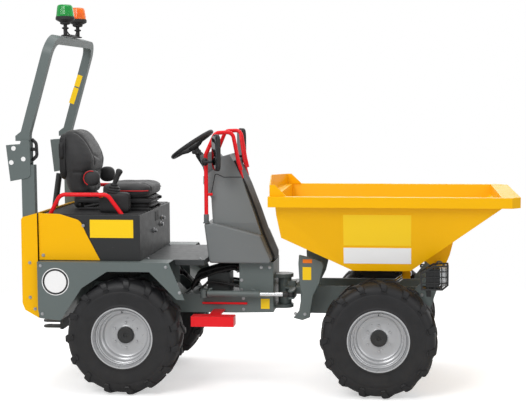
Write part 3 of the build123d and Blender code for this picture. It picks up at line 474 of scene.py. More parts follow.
mouldings = {
    "blackPlastic": dict(colour=(30, 30, 31), pale=(42, 42, 43), scale=500),
    "tyreRubber": dict(colour=(24, 24, 26), pale=(33, 33, 35), roughness=0.46, scale=300, bump=0.25,
                       dust=0.03, dustTop=0.8),
    "hoseRubber": dict(colour=(26, 26, 27), pale=(36, 36, 37), scale=600),
    "seatVinyl": dict(colour=(40, 40, 41), pale=(50, 50, 51), roughness=0.55, scale=650, bump=0.35, dust=0.0,
                      sheen=0.15),
    "seatCloth": dict(colour=(48, 48, 50), pale=(60, 60, 62), roughness=0.75, scale=900, bump=0.5, dust=0.0,
                      sheen=0.3),
    "redPiping": dict(colour=(190, 24, 28), pale=(214, 34, 38), scale=700, dust=0.0),
}
lenses = {
    "greenLens": dict(colour=(0, 170, 70), glow=0.12), "amberLens": dict(colour=(255, 128, 8), glow=0.12),
    "redLens": dict(colour=(190, 16, 18), transmission=0.3),
    "lampGlass": dict(colour=(225, 228, 230), transmission=0.4, roughness=0.08),
}
finishes = {name: maker(name, **look)
            for maker, table in ((paint, paints), (moulded, mouldings), (lens, lenses))
            for name, look in table.items()}

# body, finish and slot that many pieces share
rearBlack = ("rear_frame", "blackPlastic", "black_plastic")
rearRed = ("rear_frame", "redPaint", "red_paint")
rearSteel = ("rear_frame", "boltSteel", "grey_frame")
print("finishes made")

cameraSet = {
    "place": (1.023, -8.2, 2.053), "turn": 3.7, "down": 5.33, "lens": 79.07, "sensor": 36, "shift": -0.1431,
}
cameraData = bpy.data.cameras.new("camera")
camera = bpy.data.objects.new("camera", cameraData)
scene.collection.objects.link(camera)
camera.location = cameraSet["place"]
camera.rotation_euler = (math.radians(90 - cameraSet["down"]), 0, math.radians(cameraSet["turn"]))
cameraData.lens, cameraData.sensor_width = cameraSet["lens"], cameraSet["sensor"]
cameraData.shift_x = cameraSet["shift"]
scene.camera = camera
scene.view_settings.view_transform = "Standard"

# the world lights at half strength and shows white to the camera, to glass and mostly to shiny paint
worldSet = {"light": 0.5, "seen": 1.0, "glossy": 0.6}
scene.world = bpy.data.worlds.new("studio")
scene.world.use_nodes = True
tree = scene.world.node_tree
rays = addNode(tree, "LightPath").outputs
seen = maths(tree, "MAXIMUM", rays["Is Camera Ray"], rays["Is Transmission Ray"])
seen = maths(tree, "MAXIMUM", seen, times(tree, rays["Is Glossy Ray"], worldSet["glossy"]))
setSockets(tree, tree.nodes["Background"], Color=(1, 1, 1, 1),
          Strength=ranged(tree, seen, 0, 1, worldSet["light"], worldSet["seen"]))

# a pale floor that fades into the white ground away from the machine; sizes in metres
floorSet = {"half": 30, "low": -0.02, "top": -0.001, "tones": (236, 242), "glow": 0.48, "fade": (2.4, 4.6)}
half = floorSet["half"]
floorPoints, floorFaces = slab(rectangle(-half, -half, half, half), "xy", floorSet["low"], floorSet["top"])
floorMesh = bpy.data.meshes.new("floor")
floorMesh.from_pydata(floorPoints.tolist(), [], floorFaces)
floor = bpy.data.objects.new("floor", floorMesh)
scene.collection.objects.link(floor)
floorMaterial, tree, shader = startMaterial("paleFloor")
place = objectPlace(tree)
pale = mixed(tree, noise(tree, place, 3), *(tone(grey, grey, grey) for grey in floorSet["tones"]))
toCamera = addNode(tree, "LightPath").outputs["Is Camera Ray"]
setSockets(tree, shader, BaseColor=pale, Roughness=0.9, EmissionStrength=floorSet["glow"],
          EmissionColor=mixed(tree, toCamera, (0, 0, 0, 1), (1, 1, 1, 1)))
reach = addNode(tree, "VectorMath", Vector=place)
reach.operation = "LENGTH"
faded, clear = addNode(tree, "MixShader"), addNode(tree, "BsdfTransparent")
fade = ranged(tree, reach.outputs["Value"], *floorSet["fade"])
for index, socket in enumerate((fade, shader.outputs[0], clear.outputs[0])):
    tree.links.new(socket, faded.inputs[index])
tree.links.new(faded.outputs[0], tree.nodes["Material Output"].inputs["Surface"])
floorMesh.materials.append(floorMaterial)

# square lamps in metres and watts, all turned to the machine's middle
lampsSet = {
    "key": ((-3.0, -6.5, 6.0), 3.5, 290), "fill": ((5.0, -6.0, 3.0), 4.0, 90),
    "top": ((0, 0.5, 7.0), 6.0, 190), "back": ((0, 7.0, 4.0), 5.0, 110),
}
for name, (where, size, power) in lampsSet.items():
    lamp = bpy.data.lights.new(name, "AREA")
    lamp.size, lamp.energy = size, power
    lampObject = bpy.data.objects.new(name, lamp)
    lampObject.location = where
    lampObject.rotation_euler = (Vector((0, 0, 0.9)) - Vector(where)).to_track_quat("-Z", "Y").to_euler()
    scene.collection.objects.link(lampObject)
print("camera, floor and light set")

# wheels: one lathe for the carcass, curved tread bars, a dished rim with its nuts, cap and valve;
# profiles are (radius, distance outwards from the wheel's middle)
wheelSet = {
    "track": 470, "radius": 380,
    "hubs": {"rear_right": (0, -1), "rear_left": (0, 1), "front_right": (1740, -1), "front_left": (1740, 1)},
}
tyreSet = {
    "segments": 128, "bars": 15, "rows": 25,
    # distance from the middle, radius and turn about the axle along a bar, then its half width
    "barPath": [(-13, 374, 0.0), (-10, 395, 0.0), (30, 398, 0.075), (66, 398, 0.135), (104, 396, 0.176),
        (120, 388, 0.19), (130, 366, 0.204), (131.8, 346, 0.215), (130, 332, 0.219)],
    "barHalf": [13, 14, 15.5, 17, 19, 20, 20, 17, 10],
    # across a bar: share of its half width and of its depth; then the depth at places of the path
    "barSection": [(-1.35, 1.0), (-1.02, 0.12), (-0.9, 0.0), (-0.4, -0.02), (0.4, -0.02), (0.9, 0.0),
        (1.02, 0.12), (1.35, 1.0)],
    "barDepth": [(0, 2), (1, 19), (6, 17), (8, 9)],
    "carcass": [(196, 96), (200, 113), (205, 122), (211, 128), (217, 130), (223, 128.5), (228, 126),
        (232, 125.5), (262, 130), (298, 131.8), (316, 131.5), (319, 130.2), (322, 131), (342, 128.5),
        (360, 122), (372, 112), (380, 98), (384, 72), (386, 36), (386.5, 0)],
}
rimSet = {
    "segments": 96,
    "profile": [(203, 128.5), (207, 129.5), (211, 128.6), (212, 126), (211, 122), (206, 119), (197, 112),
        (194, 100), (194, -100), (206, -119), (212, -126), (207, -129.5), (201, -127), (190, -104),
        (181, -30), (164, -10), (120, -6), (72, -8), (70, -44), (30, -44), (0, -44), (0, 8), (50, 12),
        (62, 14), (68, 11), (98, 9.5), (112, 5.5), (128, 4.2), (143, 6), (150, 11), (153, 19), (154.5, 27),
        (158, 33), (166, 37), (170, 41), (171.5, 50), (172, 78), (173, 86), (177, 88), (178, 93), (181, 99),
        (186, 101), (187.5, 96), (189, 95), (190.5, 98), (192, 108), (194, 118), (195.5, 121), (197.5, 117),
        (199, 117), (200.5, 122)],
    "nuts": 6, "nutCircle": 88, "nutSeat": 9.5, "nutAcross": 15, "nutHeight": 13,
    "cap": [(0, 9), (57, 9), (57, 26), (55, 31), (50, 33), (30, 34), (27, 32.5), (16, 32.5), (13, 30),
        (12, 25), (0, 24.5)],
    "valve": [(0, 96, 172), (0, 110, 176), (0, 124, 181)],
}


def tyreShape():
    # the carcass profile out, back along its mirror image and shut, turned round the axle
    half = np.array(tyreSet["carcass"], float)
    loop = np.concatenate([half, (half * [1, -1])[-2::-1], half[:1]])
    return lathe(loop, origin, axisY, tyreSet["segments"])


def barShapes():
    # tread bars: rows run along the bar's path, columns round its section; a place has the path's
    # distance from the middle, its radius less the depth, and its angle less the section's half width
    path = np.array(tyreSet["barPath"], float)
    wide, deep = np.array(tyreSet["barSection"]).T
    fine, known = np.linspace(0, len(path) - 1, tyreSet["rows"]), np.arange(len(path))
    a, r, turn = (np.interp(fine, known, path[:, column]) for column in range(3))
    half = np.interp(fine, known, tyreSet["barHalf"])
    slope = np.gradient(np.stack([a, r], -1), axis=0)
    inward = np.stack([-slope[:, 1], slope[:, 0]], -1) / np.linalg.norm(slope, axis=1)[:, None]
    inward *= -np.sign(inward[:, 1:2] + 1e-9)
    depth = np.interp(fine, *np.array(tyreSet["barDepth"]).T)
    spine = np.stack([a, r], -1)[:, None] + inward[:, None] * (depth[:, None] * deep[None])[..., None]
    tilt = turn[:, None] - wide[None] * (half / wheelSet["radius"])[:, None]
    bar = shutEnds(np.concatenate([spine, tilt[..., None]], -1))
    faces, count = gridFaces(*bar.shape[:2]), tyreSet["bars"]
    shapes = []
    for hand, offset in ((1, 0.0), (-1, 0.5)):
        turns = (np.arange(count) + offset) * 2 * np.pi / count
        angle = turns[:, None, None] - bar[None, ..., 2]
        points = np.stack([bar[None, ..., 1] * np.cos(angle), hand * bar[None, ..., 0] + 0 * angle,
                           bar[None, ..., 1] * np.sin(angle)], -1).reshape(-1, 3)
        starts = np.arange(count)[:, None, None] * bar.shape[0] * bar.shape[1]
        shapes.append((points, (faces[None] + starts).reshape(-1, 4).tolist()))
    return joinShapes(shapes)


nutTurns = np.arange(rimSet["nuts"]) * 2 * np.pi / rimSet["nuts"] + np.pi / 2
nutCentres = np.stack([rimSet["nutCircle"] * np.cos(nutTurns), rimSet["nutSeat"] + 0 * nutTurns,
                       rimSet["nutCircle"] * np.sin(nutTurns)], -1)
# name, shape, finish, slot, smoothing angle and the node it stands for
wheelParts = [
    ("lugTyre_", joinShapes([tyreShape(), barShapes()]), "tyreRubber", "tyre_rubber", 38, "tyre_"),
    ("dishedRim_", lathe(rimSet["profile"] + rimSet["profile"][:1], origin, axisY, rimSet["segments"]),
     "rimPaint", "rim_grey", 32, "rim_"),
    ("wheelNuts_", fasteners(nutCentres, axisY, rimSet["nutAcross"], rimSet["nutHeight"]), "rimPaint",
     "rim_grey", 30, None),
    ("hubCap_", lathe(rimSet["cap"], origin, axisY), "blackPaint", "rim_grey", 32, None),
    ("valve_", pipe(rimSet["valve"], 4, 8, 10), "blackPlastic", "rim_grey", 40, None),
]
for corner, (hubX, side) in wheelSet["hubs"].items():
    # made about the origin with +y outwards; the right side's is mirrored
    hub = np.array([hubX, side * wheelSet["track"], wheelSet["radius"]])
    for label, (points, faces), finish, slotName, smoothAngle, node in wheelParts:
        makePiece(label + corner, (mirrored(points, side) + hub, faces), "wheel_" + corner, finish,
                  slotName, smoothAngle, node and node + corner)
print("wheels made")

# plates and covers keep the nodes' own shapes; each has its edge's width in mm and its look
looks = {
    "frame": ("greyPaint", "grey_frame"), "dark": ("darkPaint", "grey_frame"),
    "iron": ("darkPaint", "engine_iron"), "yellow": ("yellowPaint", "yellow_paint"),
    "red": ("redPaint", "red_paint"), "cover": ("blackPaint", "black_cover"),
    "lamp": ("blackPaint", "black_plastic"), "dashLow": ("panelGrey", "grey_frame"),
    "dash": ("panelGrey", "grey_panel"),
}
softSet = {
    "mudguard_right": (5, "frame"), "mudguard_left": (5, "frame"), "rear_cap": (10, "yellow"),
    "seat_console": (7, "cover"), "footplate": (3, "dark"), "dash_lower": (14, "dashLow"),
    "dash_upper": (16, "dash"), "steps": (5, "red"), "tow_hitch": (3, "dark"), "rops_posts": (4, "frame"),
    "rops_hoop": (5, "frame"), "rear_chassis": (3, "frame"), "front_chassis": (3, "frame"),
    "front_towers": (6, "frame"), "centre_yoke": (4, "frame"), "skip": (4, "yellow"),
    "skip_guard": (3, "yellow"), "skip_brackets": (3, "yellow"), "rear_axle": (3, "dark"),
    "front_axle": (3, "dark"), "valve_block": (3, "iron"), "engine": (8, "iron"), "lock_bar": (2, "red"),
    "headlamps": (1.2, "lamp"), "exhaust_pipe": (2, "dark"),
}
for node, (width, look) in softSet.items():
    softened(node, width, *looks[look])

# a foot plate closes the bowed guard's underside to the rim
guardSet = {
    "outline": [(956, 0), (1010, -538), (1024, -538), (1024, 538), (1010, 538)], "low": 1348.4, "high": 1352,
}
guardFoot = slab(guardSet["outline"], "xy", guardSet["low"], guardSet["high"])
makePiece("guardFoot", guardFoot, "skip", *looks["yellow"], 25, rounded=1)

# the side covers' free edge is one smooth sweep
coverSet = {
    "edge": [(-590, 897), (-590, 1219), (-440, 1214), (-300, 1170), (-258, 1075), (-166, 897)], "bend": 62,
    "steps": 9, "inner": 490.2, "outer": 498.2, "edgeWidth": 3,
}
coverEdge = np.array(coverSet["edge"], float)
coverPath = bentPath(np.insert(coverEdge[1:], 1, 0, axis=1), coverSet["bend"], coverSet["steps"])[:, [0, 2]]
for name, side in sides.items():
    low, high = sorted((side * coverSet["inner"], side * coverSet["outer"]))
    cover = slab(np.concatenate([coverEdge[:1], coverPath]), "xz", low, high)
    makePiece("sideCover_" + name, cover, "rear_frame", *looks["yellow"], 25,
              "side_covers" if side < 0 else None, coverSet["edgeWidth"])
print("plates and covers softened")

# cylinders: steering pair and tip cylinder, each a barrel, a bright rod and its eyes
cylinderSet = {
    "rear": 500, "front": 1118, "steerY": 245, "steerZ": 632, "steerRadius": 24, "steerSpan": (0.04, 0.647),
    "rodFrom": 752, "rodRadius": 14.5, "rodLength": 338, "neckFrom": 1060,
    "neck": [(0, 0), (18, 0), (20, 4), (20, 30), (17, 40), (0, 40)],
    # oil ports up from the barrel's line
    "ports": ([(540, 0, 20), (540, 0, 32), (560, 0, 36)], [(860, 0, 20), (860, 0, 30), (838, 0, 34)]),
    "tipBase": (1440, 0, 400), "tipEye": (1930, 0, 752), "tipRadius": 33, "tipSpan": (0.05, 0.72),
    "tipRodFrom": 110, "tipRodRadius": 17, "tipRodLength": 480,
}


def barrelShape(start, end, radius, span):
    # a barrel between two shares of the line from start to end, with a rear cap and a gland
    start, end = np.asarray(start, float), np.asarray(end, float)
    low, high = (share * np.linalg.norm(end - start) for share in span)
    steps = [(0, low), (0.86, low), (0.98, low + 4), (0.98, low + 22), (0.93, low + 26), (0.93, high - 40),
             (1, high - 36), (1, high - 8), (0.9, high - 2), (0.62, high), (0, high)]
    return lathe(np.array(steps) * [radius, 1], start, end - start, 36)


for name, side in sides.items():
    line = np.array([0, side * cylinderSet["steerY"], cylinderSet["steerZ"]])
    rear, front, rodFoot, neckFoot = (line + [cylinderSet[key], 0, 0]
                                      for key in ("rear", "front", "rodFrom", "neckFrom"))
    barrel = joinShapes([barrelShape(rear, front, cylinderSet["steerRadius"], cylinderSet["steerSpan"]),
                         lathe(boss(22, 21, 2), rear, axisZ, 32),
                         *(pipe(np.array(port) + line, 6, 6, 12) for port in cylinderSet["ports"])])
    makePiece("steerBarrel_" + name, barrel, "steer_barrel_" + name, *looks["frame"], 32,
              "steer_barrel_" + name)
    rod = lathe(drum(cylinderSet["rodRadius"], cylinderSet["rodLength"]), rodFoot, axisX, 32)
    makePiece("steerRod_" + name, rod, "steer_rod_" + name, "chromeRod", "chrome_rod", 40,
              "steer_rod_" + name)
    eye = joinShapes([lathe(boss(21, 14, 2), front, axisZ, 32),
                      lathe(cylinderSet["neck"], neckFoot, axisX, 28)])
    makePiece("steerEye_" + name, eye, "steer_rod_" + name, "blackPaint", "grey_frame", 32)

base, eye = np.array(cylinderSet["tipBase"]), np.array(cylinderSet["tipEye"])
lean = (eye - base) / np.linalg.norm(eye - base)
tipBarrel = joinShapes([barrelShape(base, eye, cylinderSet["tipRadius"], cylinderSet["tipSpan"]),
                        lathe(boss(31, 43, 3), base, axisY, 36)])
makePiece("tipBarrel", tipBarrel, "tip_barrel", *looks["frame"], 32, "tip_barrel")
tipRod = joinShapes([lathe(drum(cylinderSet["tipRodRadius"], cylinderSet["tipRodLength"]),
                           base + lean * cylinderSet["tipRodFrom"], lean, 32),
                     lathe(boss(29, 19, 3), eye, axisY, 36)])
makePiece("tipRod", tipRod, "tip_rod", "chromeRod", "chrome_rod", 32, "tip_rod")
print("cylinders made")

# red rails: places are for the right side with y turned over for the left
railSet = {
    "radius": 14, "grab": [(-533, -430, 1195), (-455, -430, 1342), (-125, -430, 1342), (-20, -430, 1195)],
    "dash": [(524, -240, 1130), (524, -240, 1610), (590, -225, 1760), (705, -190, 1765), (742, -175, 1560),
        (758, -160, 1500)],
    "inner": [(700, -191, 1762), (712, -150, 1700), (735, -135, 1560), (765, -135, 1440)], "innerRadius": 9,
    "stay": [(524, -240, 1330), (560, -215, 1330)], "stayRadius": 10,
    "socket": [(0, 0), (24, 0), (24, 5), (18, 8), (18, 60), (16, 63), (0, 63)],
    "socketAt": (524, -240, 1129.5),
}
# mirrors: along, turn in degrees, foot and head of each; shell and glass give back, front and half width
mirrorSet = {
    "right": (616, 24, 1502, 1754), "left": (690, 26, 1518, 1776), "y": 345, "shell": (-15, 17, 72),
    "glass": (-20, -12, 62), "rim": 12, "mount": [(0, 0), (20, 0), (22, 5), (20, 26), (0, 28)],
}


def turnedPlate(box, low, high, power, rows, columns, place):
    # x' = x cos - y sin and y' = x sin + y cos about the plate's own upright, then moved to its place
    back, front, half = box
    centreX, centreY, cosTurn, sinTurn = place
    points, faces = pillow((back, -half, low), (front, half, high), power, rows, columns)
    x, y = points[:, 0].copy(), points[:, 1].copy()
    points[:, 0], points[:, 1] = centreX + x * cosTurn - y * sinTurn, centreY + x * sinTurn + y * cosTurn
    return points, faces


for name, side in sides.items():
    grab = pipe(mirrored(railSet["grab"], -side), railSet["radius"], 60, 18, 10)
    makePiece("grabRail_" + name, grab, *rearRed, replaced="grab_rails" if side < 0 else None)
    loop = joinShapes([pipe(mirrored(railSet["dash"], -side), railSet["radius"], 45, 18, 10),
                       pipe(mirrored(railSet["inner"], -side), railSet["innerRadius"], 40, 14),
                       pipe(mirrored(railSet["stay"], -side), railSet["stayRadius"], 10, 14)])
    makePiece("dashRail_" + name, loop, *rearRed, replaced="dash_rails" if side < 0 else None)
    socket = lathe(railSet["socket"], mirrored(railSet["socketAt"], -side), axisZ, 28)
    makePiece("railSocket_" + name, socket, "rear_frame", "panelGreyDark", "grey_panel")
    mirrorX, turn, low, high = mirrorSet[name]
    mirrorY, rim = side * mirrorSet["y"], mirrorSet["rim"]
    place = (mirrorX, mirrorY, math.cos(math.radians(turn)), math.sin(math.radians(turn)))
    shell = joinShapes([
        turnedPlate(mirrorSet["shell"], low, high, 5, 22, 44, place),
        pipe([(524, side * 256, 1560), (524, side * 330, 1560), (mirrorX - 30, mirrorY, 1566)], 9, 22, 14),
        lathe(mirrorSet["mount"], (mirrorX - 8, mirrorY, 1600), axisX, 24),
        pillow((505, side * 282 - 26, 1534), (545, side * 282 + 26, 1590), 2.6, 16, 24)])
    makePiece("mirrorShell_" + name, shell, *rearBlack, replaced="mirrors" if side < 0 else None)
    # the glass takes the dark finish that paints a dark reflection on it
    glass = turnedPlate(mirrorSet["glass"], low + rim, high - rim, 7, 18, 40, place)
    makePiece("mirrorGlassDarkReflection_" + name, glass, "rear_frame", "mirrorGlassDarkReflection", "black_plastic")

# beacons on their stems; the lens has fine upright ribs
beaconSet = {
    "x": -478, "y": 150, "low": 2519, "ribs": 24, "ribDepth": 0.012,
    "base": [(0, 0), (34, 0), (36, 3), (36, 12), (44, 16), (60, 24), (66, 30), (66, 44), (63, 47), (63, 52),
        (0, 52)],
    "lens": [(0, 50), (60, 50), (61, 56), (60, 64), (56, 96), (53, 118), (49, 128), (40, 133), (20, 134.5),
        (0, 134.5)],
    "bulb": [(0, 56), (20, 56), (24, 70), (24, 100), (16, 112), (0, 114)],
    "stem": [(0, 0), (30, 0), (30, 6), (14, 10), (14, 46), (24, 50), (24, 58), (13, 62), (13, 76), (30, 80),
        (30, 83), (0, 83)],
    "stemFoot": 2436, "plate": (-494, -168, -462, 168), "plateZ": (2434.5, 2442),
    "cable": [(-478, -120, 2470), (-470, -80, 2446), (-470, 60, 2446), (-478, 120, 2470)],
}
for colour, side in (("green", -1), ("amber", 1)):
    foot = (beaconSet["x"], side * beaconSet["y"], beaconSet["low"])
    look = (colour + "Lens", colour + "_lens")
    dome = lathe(beaconSet["lens"], foot, axisZ, 96, beaconSet["ribDepth"], beaconSet["ribs"])
    makePiece("beaconLens_" + colour, dome, "hoop", *look, replaced="beacon_" + colour)
    makePiece("beaconBase_" + colour, lathe(beaconSet["base"], foot, axisZ, 64), "hoop", *rearBlack[1:], 32)
    makePiece("beaconBulb_" + colour, lathe(beaconSet["bulb"], foot, axisZ, 32), "hoop", *look)
stems = [lathe(beaconSet["stem"], (beaconSet["x"], side * beaconSet["y"], beaconSet["stemFoot"]), axisZ, 32)
         for side in (-1, 1)]
stems += [slab(rectangle(*beaconSet["plate"]), "xy", *beaconSet["plateZ"]),
          pipe(beaconSet["cable"], 5, 30, 10)]
makePiece("beaconStalks", joinShapes(stems), "hoop", *rearBlack[1:], 32, "beacon_bracket")
print("rails, mirrors and beacons made")

# steering wheel and column, square to an axis that leans back
steerSet = {
    "centre": (384, 0, 1670), "tilt": 34, "ring": 164, "thick": 14, "oval": 1.08,
    # turn of each spoke; how high its places are against the ring's middle, and how far out from the axis
    "spokes": (90, 210, 330), "spokePath": [(-26, 20), (-24, 60), (-8, 110), (0, 158)], "spokeRadius": 15,
    "hub": [(0, -44), (26, -44), (34, -36), (40, -30), (44, -20), (42, -12), (34, -7), (0, -5)],
    "column": [(0, 0), (46, 0), (46, 8), (34, 18), (30, 40), (28, 150), (24, 156), (24, 196), (18, 200),
        (0, 200)],
    "columnDown": 238, "stalk": [(-80, 20), (-76, 80), (-60, 120)], "stalkRadius": 7, "tip": 14,
}
tilt = math.radians(steerSet["tilt"])
up = np.array([-math.sin(tilt), 0, math.cos(tilt)])
ahead, left = np.array([math.cos(tilt), 0, math.sin(tilt)]), np.array([0.0, 1.0, 0.0])
centre = np.array(steerSet["centre"], float)
section = np.linspace(0, 2 * np.pi, 16)
ringProfile = np.stack([steerSet["ring"] + steerSet["thick"] * np.cos(section),
                        steerSet["thick"] * steerSet["oval"] * np.sin(section)], -1)
shapes = [lathe(ringProfile, centre, up, 96)]
for angle in np.radians(steerSet["spokes"]):
    out = ahead * math.cos(angle) + left * math.sin(angle)
    route = [centre + up * rise + out * reach for rise, reach in steerSet["spokePath"]]
    shapes.append(pipe(route, steerSet["spokeRadius"], 40, 14, 6, flat=0.5))
shapes.append(lathe(steerSet["hub"], centre, up))
makePiece("steeringWheelRing", joinShapes(shapes), "steering_wheel", *rearBlack[1:],
          replaced="steering_wheel")
shapes = [lathe(steerSet["column"], centre - up * steerSet["columnDown"], up, 36)]
for side in (1, -1):
    route = [centre + up * rise + side * left * reach for rise, reach in steerSet["stalk"]]
    shapes.append(pipe(route, steerSet["stalkRadius"], 20, 12))
shapes.append(pillow(route[-1] - steerSet["tip"], route[-1] + steerSet["tip"], 2.4, 14, 20))
makePiece("steeringColumn", joinShapes(shapes), *rearBlack, replaced="steering_column")
print("steering made")

# seat: padded back, cushion and bolsters, hard rear shell, bellows and slides
seatSet = {
    # height, front, rear and half width of the back
    "back": [(1318, -330, -470, 190), (1345, -322, -488, 205), (1400, -332, -500, 214),
        (1470, -320, -506, 226), (1510, -308, -509, 234), (1561, -302, -512, 238), (1610, -314, -515, 234),
        (1660, -336, -518, 224), (1710, -362, -520, 208), (1748, -388, -519, 188), (1770, -414, -506, 160),
        (1780, -440, -482, 110)],
    "backRows": 34, "backColumns": 44, "backPower": 0.62, "cushionLow": (-245, -238, 1308),
    "cushionHigh": (128, 238, 1398), "dip": 16, "bolsterLow": (-352, 172, 1384),
    "bolsterHigh": (-236, 244, 1496),
    "welt": [(-180, 239, 1352), (0, 241, 1352), (80, 233, 1352), (106, 206, 1352)],
    # the swelling: the remesh's voxel and the furthest move are in metres
    "voxel": 0.009, "pressure": 4.0, "cap": 0.008, "frames": 20,
}


def backShape():
    # rows up the back, each a squared ring between its front and rear, as wide as its height asks
    rows = np.array(seatSet["back"], float)
    fine = np.linspace(0, len(rows) - 1, seatSet["backRows"])
    z, front, rear, half = (np.interp(fine, np.arange(len(rows)), rows[:, column]) for column in range(4))
    return stackedRings((front + rear) / 2, (front - rear) / 2, half, z, seatSet["backPower"],
                        seatSet["backColumns"])


def cushionShape():
    # a low squared ball whose top dips along the middle and rises at the sides and the front edge
    points, faces = pillow(seatSet["cushionLow"], seatSet["cushionHigh"], 4.5, 26, 48)
    low, high = np.array(seatSet["cushionLow"], float), np.array(seatSet["cushionHigh"], float)
    share = (points - low) / (high - low)
    dip = np.exp(-((share[:, 1] - 0.5) / 0.27) ** 2) * np.exp(-((share[:, 0] - 0.38) / 0.36) ** 2)
    points[:, 2] -= seatSet["dip"] * dip * share[:, 2] ** 2
    return points, faces


def readPlaces(mesh, what="co"):
    values = np.empty(len(mesh.vertices) * 3)
    mesh.vertices.foreach_get(what, values)
    return values.reshape(-1, 3)


def asShown(piece):
    return bpy.data.meshes.new_from_object(piece.evaluated_get(bpy.context.evaluated_depsgraph_get()))


def puffed(name, shape):
    # remeshed evenly and swollen as cloth under pressure, each point moving no further than the cap
    piece = makePiece(name, shape, "rear_frame", "seatVinyl", "seat_fabric", 180)
    remesh = piece.modifiers.new("even", "REMESH")
    remesh.mode, remesh.voxel_size = "VOXEL", seatSet["voxel"]
    plain = asShown(piece)
    piece.modifiers.clear()
    oldMesh, piece.data = piece.data, plain
    bpy.data.meshes.remove(oldMesh)
    start = readPlaces(plain)
    cloth = piece.modifiers.new("swell", "CLOTH")
    cloth.settings.use_pressure, cloth.settings.uniform_pressure_force = True, seatSet["pressure"]
    cloth.settings.effector_weights.gravity = 0
    cloth.settings.quality = 4
    cloth.point_cache.frame_start, cloth.point_cache.frame_end = 1, seatSet["frames"]
    for step in range(1, seatSet["frames"] + 1):
        scene.frame_set(step)
    swollen = asShown(piece)
    move = readPlaces(swollen) - start
    length = np.linalg.norm(move, axis=1, keepdims=True) + 1e-12
    capped = start + move * np.minimum(1, seatSet["cap"] / length)
    piece.modifiers.clear()
    plain.vertices.foreach_set("co", capped.ravel())
    plain.update()
    bpy.data.meshes.remove(swollen)
    scene.frame_set(1)
    plain.materials.clear()
    plain.materials.append(finishes["seatVinyl"])
    plain.polygons.foreach_set("use_smooth", [True] * len(plain.polygons))
    smooth = piece.modifiers.new("finer", "SUBSURF")
    smooth.levels = smooth.render_levels = 1
    return piece


def sewn(piece, depth, width, grooves):
    # grooves pressed in by exp(-(distance/width)^2); each gives the distance of every place from its line
    mesh = piece.data
    places, normals = readPlaces(mesh), readPlaces(mesh, "normal")
    machine = (places * 1000 - frameShift).T
    press = sum(np.exp(-(groove(*machine) / width) ** 2) for groove in grooves)
    places -= normals * (depth / 1000) * np.clip(press, 0, 1)[:, None]
    mesh.vertices.foreach_set("co", places.ravel())
    mesh.update()


far = 99  # a distance at which a groove presses nothing
seatBack = puffed("seatBackPad", backShape())
sewn(seatBack, 7, 9, [
    # two seams beside the head, one across under it that dips at its middle, and one across the waist
    lambda x, y, z: np.where((x > -440) & (z > 1520),
                             np.abs(np.abs(y) - np.interp(z, [1560, 1760], [110, 150])), far),
    lambda x, y, z: np.where((x > -400) & (np.abs(y) < 112), np.abs(z - 1572 - np.abs(y) * 0.25), far),
    lambda x, y, z: np.where(x > -430, np.abs(z - 1478), far)])
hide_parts("seat_back")
seatCushion = puffed("seatCushionPad", cushionShape())
sewn(seatCushion, 6, 9, [
    # a seam along each side and one across between them
    lambda x, y, z: np.where(z > 1345, np.abs(np.abs(y) - 150), far),
    lambda x, y, z: np.where((z > 1345) & (np.abs(y) < 150), np.abs(x - 30), far)])
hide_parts("seat_cushion")
for name, side in sides.items():
    low, high = np.array(seatSet["bolsterLow"]), np.array(seatSet["bolsterHigh"])
    low[1], high[1] = sorted((side * low[1], side * high[1]))
    puffed("seatBolster_" + name, pillow(low, high, 2.6, 22, 30))
    # the trim is an arc of an ellipse round the bolster's rear
    arc = np.linspace(0.15, 1.1, 7) * np.pi
    trim = np.stack([-292 - 52 * np.sin(arc) * 1.02, side * (236 + 4 * np.sin(arc)), 1440 - 52 * np.cos(arc)],
                    -1)
    makePiece("redTrim_" + name, pipe(trim, 3.2, 12, 10, 5), "rear_frame", "redPiping", "seat_fabric")
    welt = pipe(mirrored(seatSet["welt"], side), 3.4, 30, 10, 9)
    makePiece("cushionWelt_" + name, welt, "rear_frame", "redPiping" if side < 0 else "seatCloth",
              "seat_fabric")
shell = joinShapes([pillow((-534, -214, 1420), (-470, 214, 1752), 5, 24, 44),
                    pillow((-528, -232, 1560), (-486, 232, 1700), 6, 16, 40)])
makePiece("seatRearShell", shell, *rearBlack)

bellowsSet = {
    "low": (-60, -180, 1226), "high": (118, 180, 1306), "folds": 3, "depth": 16, "power": 0.5, "columns": 64,
}


def bellowsShape():
    # squared rings whose size waves with height: half size = base - depth*(0.5 + 0.5*cos(folds turns))
    low, high = np.array(bellowsSet["low"], float), np.array(bellowsSet["high"], float)
    height = np.linspace(0, 1, bellowsSet["folds"] * 10 + 1)
    inset = bellowsSet["depth"] * (0.5 + 0.5 * np.cos(2 * np.pi * bellowsSet["folds"] * height))
    middle, half = (low + high) / 2, (high - low) / 2
    return stackedRings(middle[0] + 0 * height, half[0] - inset, half[1] - inset,
                        low[2] + height * (high[2] - low[2]), bellowsSet["power"], bellowsSet["columns"])


makePiece("seatBellows", bellowsShape(), *rearBlack, 60, "seat_base")
slides = [pillow((-420, y - 16, 1262), (120, y + 16, 1292), 8, 12, 20) for y in (-165, 165)]
slides += [pillow((-400, y - 20, 1210), (110, y + 20, 1232), 8, 12, 20) for y in (-175, 175)]
slides += [pipe([(-360, y, 1232), (-200, y, 1266), (-90, y, 1240)], 11, 30, 12) for y in (-168, 168)]
slides += [pipe([(-390, -190, 1250), (-392, 0, 1256), (-390, 190, 1250)], 9, 60, 12),
           pipe([(-60, -150, 1215), (100, -150, 1215)], 8),
           pillow((-455, -150, 1215), (-330, 150, 1330), 5, 16, 30)]
makePiece("seatSlides", joinShapes(slides), *rearBlack)

